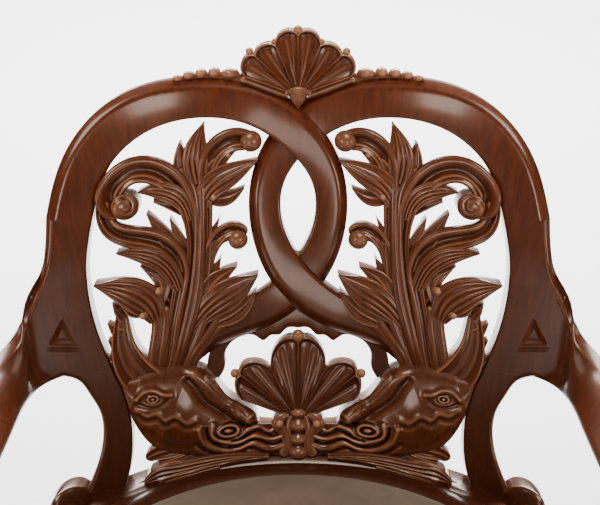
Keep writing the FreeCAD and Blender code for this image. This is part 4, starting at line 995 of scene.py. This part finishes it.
REAR_LEG_TURN = math.radians(35)  # from straight back
SABRE_SWEEP = 108.0
drop = np.linspace(0, 1, 60)
half = 24 - 8 * drop
ring = squared(0, 0, 0, half, half, 5.0) * 1000
side = ring[..., 0]
out = ring[..., 1] + (OPENING + RAIL_OUT) / 2 + SABRE_SWEEP * drop[:, None] ** 2
x = -out * math.sin(REAR_LEG_TURN) + side * math.cos(REAR_LEG_TURN)
y = out * math.cos(REAR_LEG_TURN) + side * math.sin(REAR_LEG_TURN) + SEAT_CENTRE
make_pair("rear_leg", [tube(in_chair(x, y, RAIL_LOW - LEG * drop[:, None]))], plain_mahogany)

# --- drop-in seat -------------------------------------------------------------------------------
# A loose frame covered in brown suede over a low stuffed dome. The cloth turns down inside the rim
# and under the frame, where it is tacked; it lifts straight out.

CLOTH = OPENING - 1.5
CLOTH_FRONT = POST_BACK + REBATE - 1.5
CLOTH_LOW = 17.6
SEAT_CORNER = 16.0


def seat_plan():
    """The seat's outline as a closed run of points: half a circle behind, straight sides and front."""
    turn = np.linspace(-math.pi / 2, math.pi / 2, 90)
    rear = np.column_stack((CLOTH * np.sin(turn), CLOTH * np.cos(turn)))
    side = np.linspace(0, SEAT_CORNER - CLOTH_FRONT, 24)[1:]
    bend = np.linspace(0, math.pi / 2, 9)[1:]
    x = np.concatenate((np.full(23, CLOTH), CLOTH - SEAT_CORNER * (1 - np.cos(bend))))
    y = np.concatenate((side, side[-1] - SEAT_CORNER * np.sin(bend)))
    right = np.column_stack((x, y))
    across = np.linspace(CLOTH - SEAT_CORNER, SEAT_CORNER - CLOTH, 50)[1:]
    front = np.column_stack((across, np.full(49, -CLOTH_FRONT)))
    return np.concatenate((rear, right, front, right[-2::-1] * (-1, 1)))


def suede(name, dark, light):
    """Brushed suede: mottled where the nap lies different ways, with a soft sheen."""
    material, tree, shader, coords = new_material(name)
    clouds = noise_node(tree, coords, 14.0, 6.0, 0.62)
    nap = noise_node(tree, coords, 900.0, 2.0)
    colour = mix_node(tree, spread_node(tree, clouds, 0.22, 0.8), dark, light)
    colour = mix_node(tree, spread_node(tree, nap, 0.2, 0.8, 0.0, 0.25), colour, dark)
    tree.links.new(colour, shader.inputs["Base Color"])
    shader.inputs["Roughness"].default_value = 0.92
    shader.inputs["Sheen Weight"].default_value = 0.2
    shader.inputs["Sheen Roughness"].default_value = 0.45
    bump_node(tree, shader, nap, 0.25, 0.0006)
    return material


brown_suede = suede("brown_suede", (0.115, 0.066, 0.034, 1), (0.235, 0.152, 0.09, 1))


def suede_top():
    """Rings from the seat's middle to its edge: a low dome with faint waves, rolled down at the rim."""
    roll = 0.125 * np.sin(np.linspace(0, math.pi / 2, 14))[1:]
    share = np.concatenate((np.linspace(0.02, 0.86, 44), 0.86 + roll))[:, None]
    x, y = share * plan[:, 0], share * plan[:, 1]
    edge = np.clip((share - 0.86) / 0.14, 0, 1)
    dome = 10 + 26 * (1 - 0.72 * np.clip(np.hypot(x, y) / CLOTH, 0, 1.3) ** 2)
    dome = dome * (1 - 0.75 * edge ** 2) - 5 * edge ** 3
    waves = 0.5 * np.sin(x / 31 + 1.3 * np.sin(y / 47)) * np.sin(y / 39 + 0.8) * (1 - edge)
    return in_chair(x, y + SEAT_CENTRE, SEAT_TOP + dome + waves)


plan = seat_plan()
wide = np.array((1, 1, 1, 0.9))[:, None]  # three rings down the side, and one turned in below
down = np.array((6, 12, CLOTH_LOW, CLOTH_LOW))[:, None]
skirt = in_chair(wide * plan[:, 0], wide * plan[:, 1] + SEAT_CENTRE, SEAT_TOP - down)
covered = [tube(np.concatenate((suede_top(), skirt)))]
stands_for = ["seat_cover", "seat_stuffing"]
cushion = make_piece("suede_seat", covered, brown_suede, stands_for, "slip_seat")

# --- hidden wood, webbing, cloth and steel --------------------------------------------------------
# CAD nodes that show only from below or not at all keep their own shapes and take plain finishes.


def plain(name, colour, roughness, metallic=0.0, scale=60.0):
    """A plain finish with a little mottling."""
    material, tree, shader, coords = new_material(name)
    mottle = spread_node(tree, noise_node(tree, coords, scale, 4.0), 0.35, 0.7)
    shade = tuple(c * 0.7 for c in colour[:3]) + (1,)
    tree.links.new(mix_node(tree, mottle, colour, shade), shader.inputs["Base Color"])
    shader.inputs["Roughness"].default_value = roughness
    shader.inputs["Metallic"].default_value = metallic
    return material


beech = plain("beech", (0.52, 0.36, 0.21, 1), 0.6)
woven = plain("webbing_jute", (0.42, 0.33, 0.21, 1), 0.95, scale=240.0)
black_cloth = plain("dust_cloth_black", (0.03, 0.03, 0.03, 1), 0.95)
steel = plain("screw_steel", (0.42, 0.41, 0.39, 1), 0.35, 1.0)
BEECH_NODES = (
    "corner_block_left", "corner_block_right", "frame_dowels",
    "slip_rail_back", "slip_rail_front", "slip_rail_left", "slip_rail_right",
)
finishes = {node: beech for node in BEECH_NODES}
finishes.update(seat_webbing=woven, dust_cover=black_cloth, block_screws=steel, leg_glides=steel)
for node, material in finishes.items():
    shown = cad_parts[node]
    shown.data.materials.clear()
    shown.data.materials.append(material)

# --- floor, light and camera ----------------------------------------------------------------------
# A plain pale floor, soft light from above and both sides, and a camera above the sitter's knees.

bpy.ops.mesh.primitive_plane_add(size=40, location=(0, 0, 0))
floor = bpy.context.object
floor.name = "floor"
pale, _, shader, _ = new_material("pale_floor")
shader.inputs["Base Color"].default_value = (0.9, 0.9, 0.9, 1)
shader.inputs["Roughness"].default_value = 0.9
floor.data.materials.append(pale)
floor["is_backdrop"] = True


def softbox(name, place, aim, size, power, colour=(1, 1, 1)):
    """A square soft light, aimed at a point: its own -Z axis lies along the line to that point."""
    light = bpy.data.lights.new(name, "AREA")
    light.size = size
    light.energy = power
    light.color = colour
    made = bpy.data.objects.new(name, light)
    bpy.context.scene.collection.objects.link(made)
    made.location = place
    x, y, z = np.subtract(aim, place)
    made.rotation_euler = (math.atan2(math.hypot(x, y), -z), 0, math.atan2(y, x) - math.pi / 2)


softbox("key_above", (0.0, -0.7, 2.7), (0, 0.2, 0.8), 1.0, 38)
for hand, way in (("left", -1), ("right", 1)):
    softbox("front_" + hand, (way * 1.35, -1.15, 0.98), (0, 0.2, 0.8), 0.45, 8, (1, 0.95, 0.9))
    softbox("rim_" + hand, (way * 1.7, 0.3, 1.5), (way * 0.1, 0.1, 0.82), 0.8, 5, (1, 0.93, 0.88))
softbox("front_low", (0.0, -2.9, 0.78), (0, 0.1, 0.75), 0.8, 14, (1, 0.94, 0.9))
softbox("floor_wash", (0.0, 2.9, 2.6), (0, 2.9, 0), 3.4, 640)
world = bpy.context.scene.world or bpy.data.worlds.new("studio")
bpy.context.scene.world = world
world.use_nodes = True
sky = world.node_tree.nodes["Background"]
sky.inputs["Color"].default_value = (1, 1, 1, 1)
sky.inputs["Strength"].default_value = 0.14

camera = bpy.data.cameras.new("camera")
camera.sensor_width = 36.0
camera.lens = 105.8
shot = bpy.data.objects.new("camera", camera)
bpy.context.scene.collection.objects.link(shot)
shot.location = (0.002, (FACE_Y - 1650) / 1000, 1.43)
shot.rotation_euler = (math.radians(65.91), 0, 0)
bpy.context.scene.camera = shot

low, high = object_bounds()
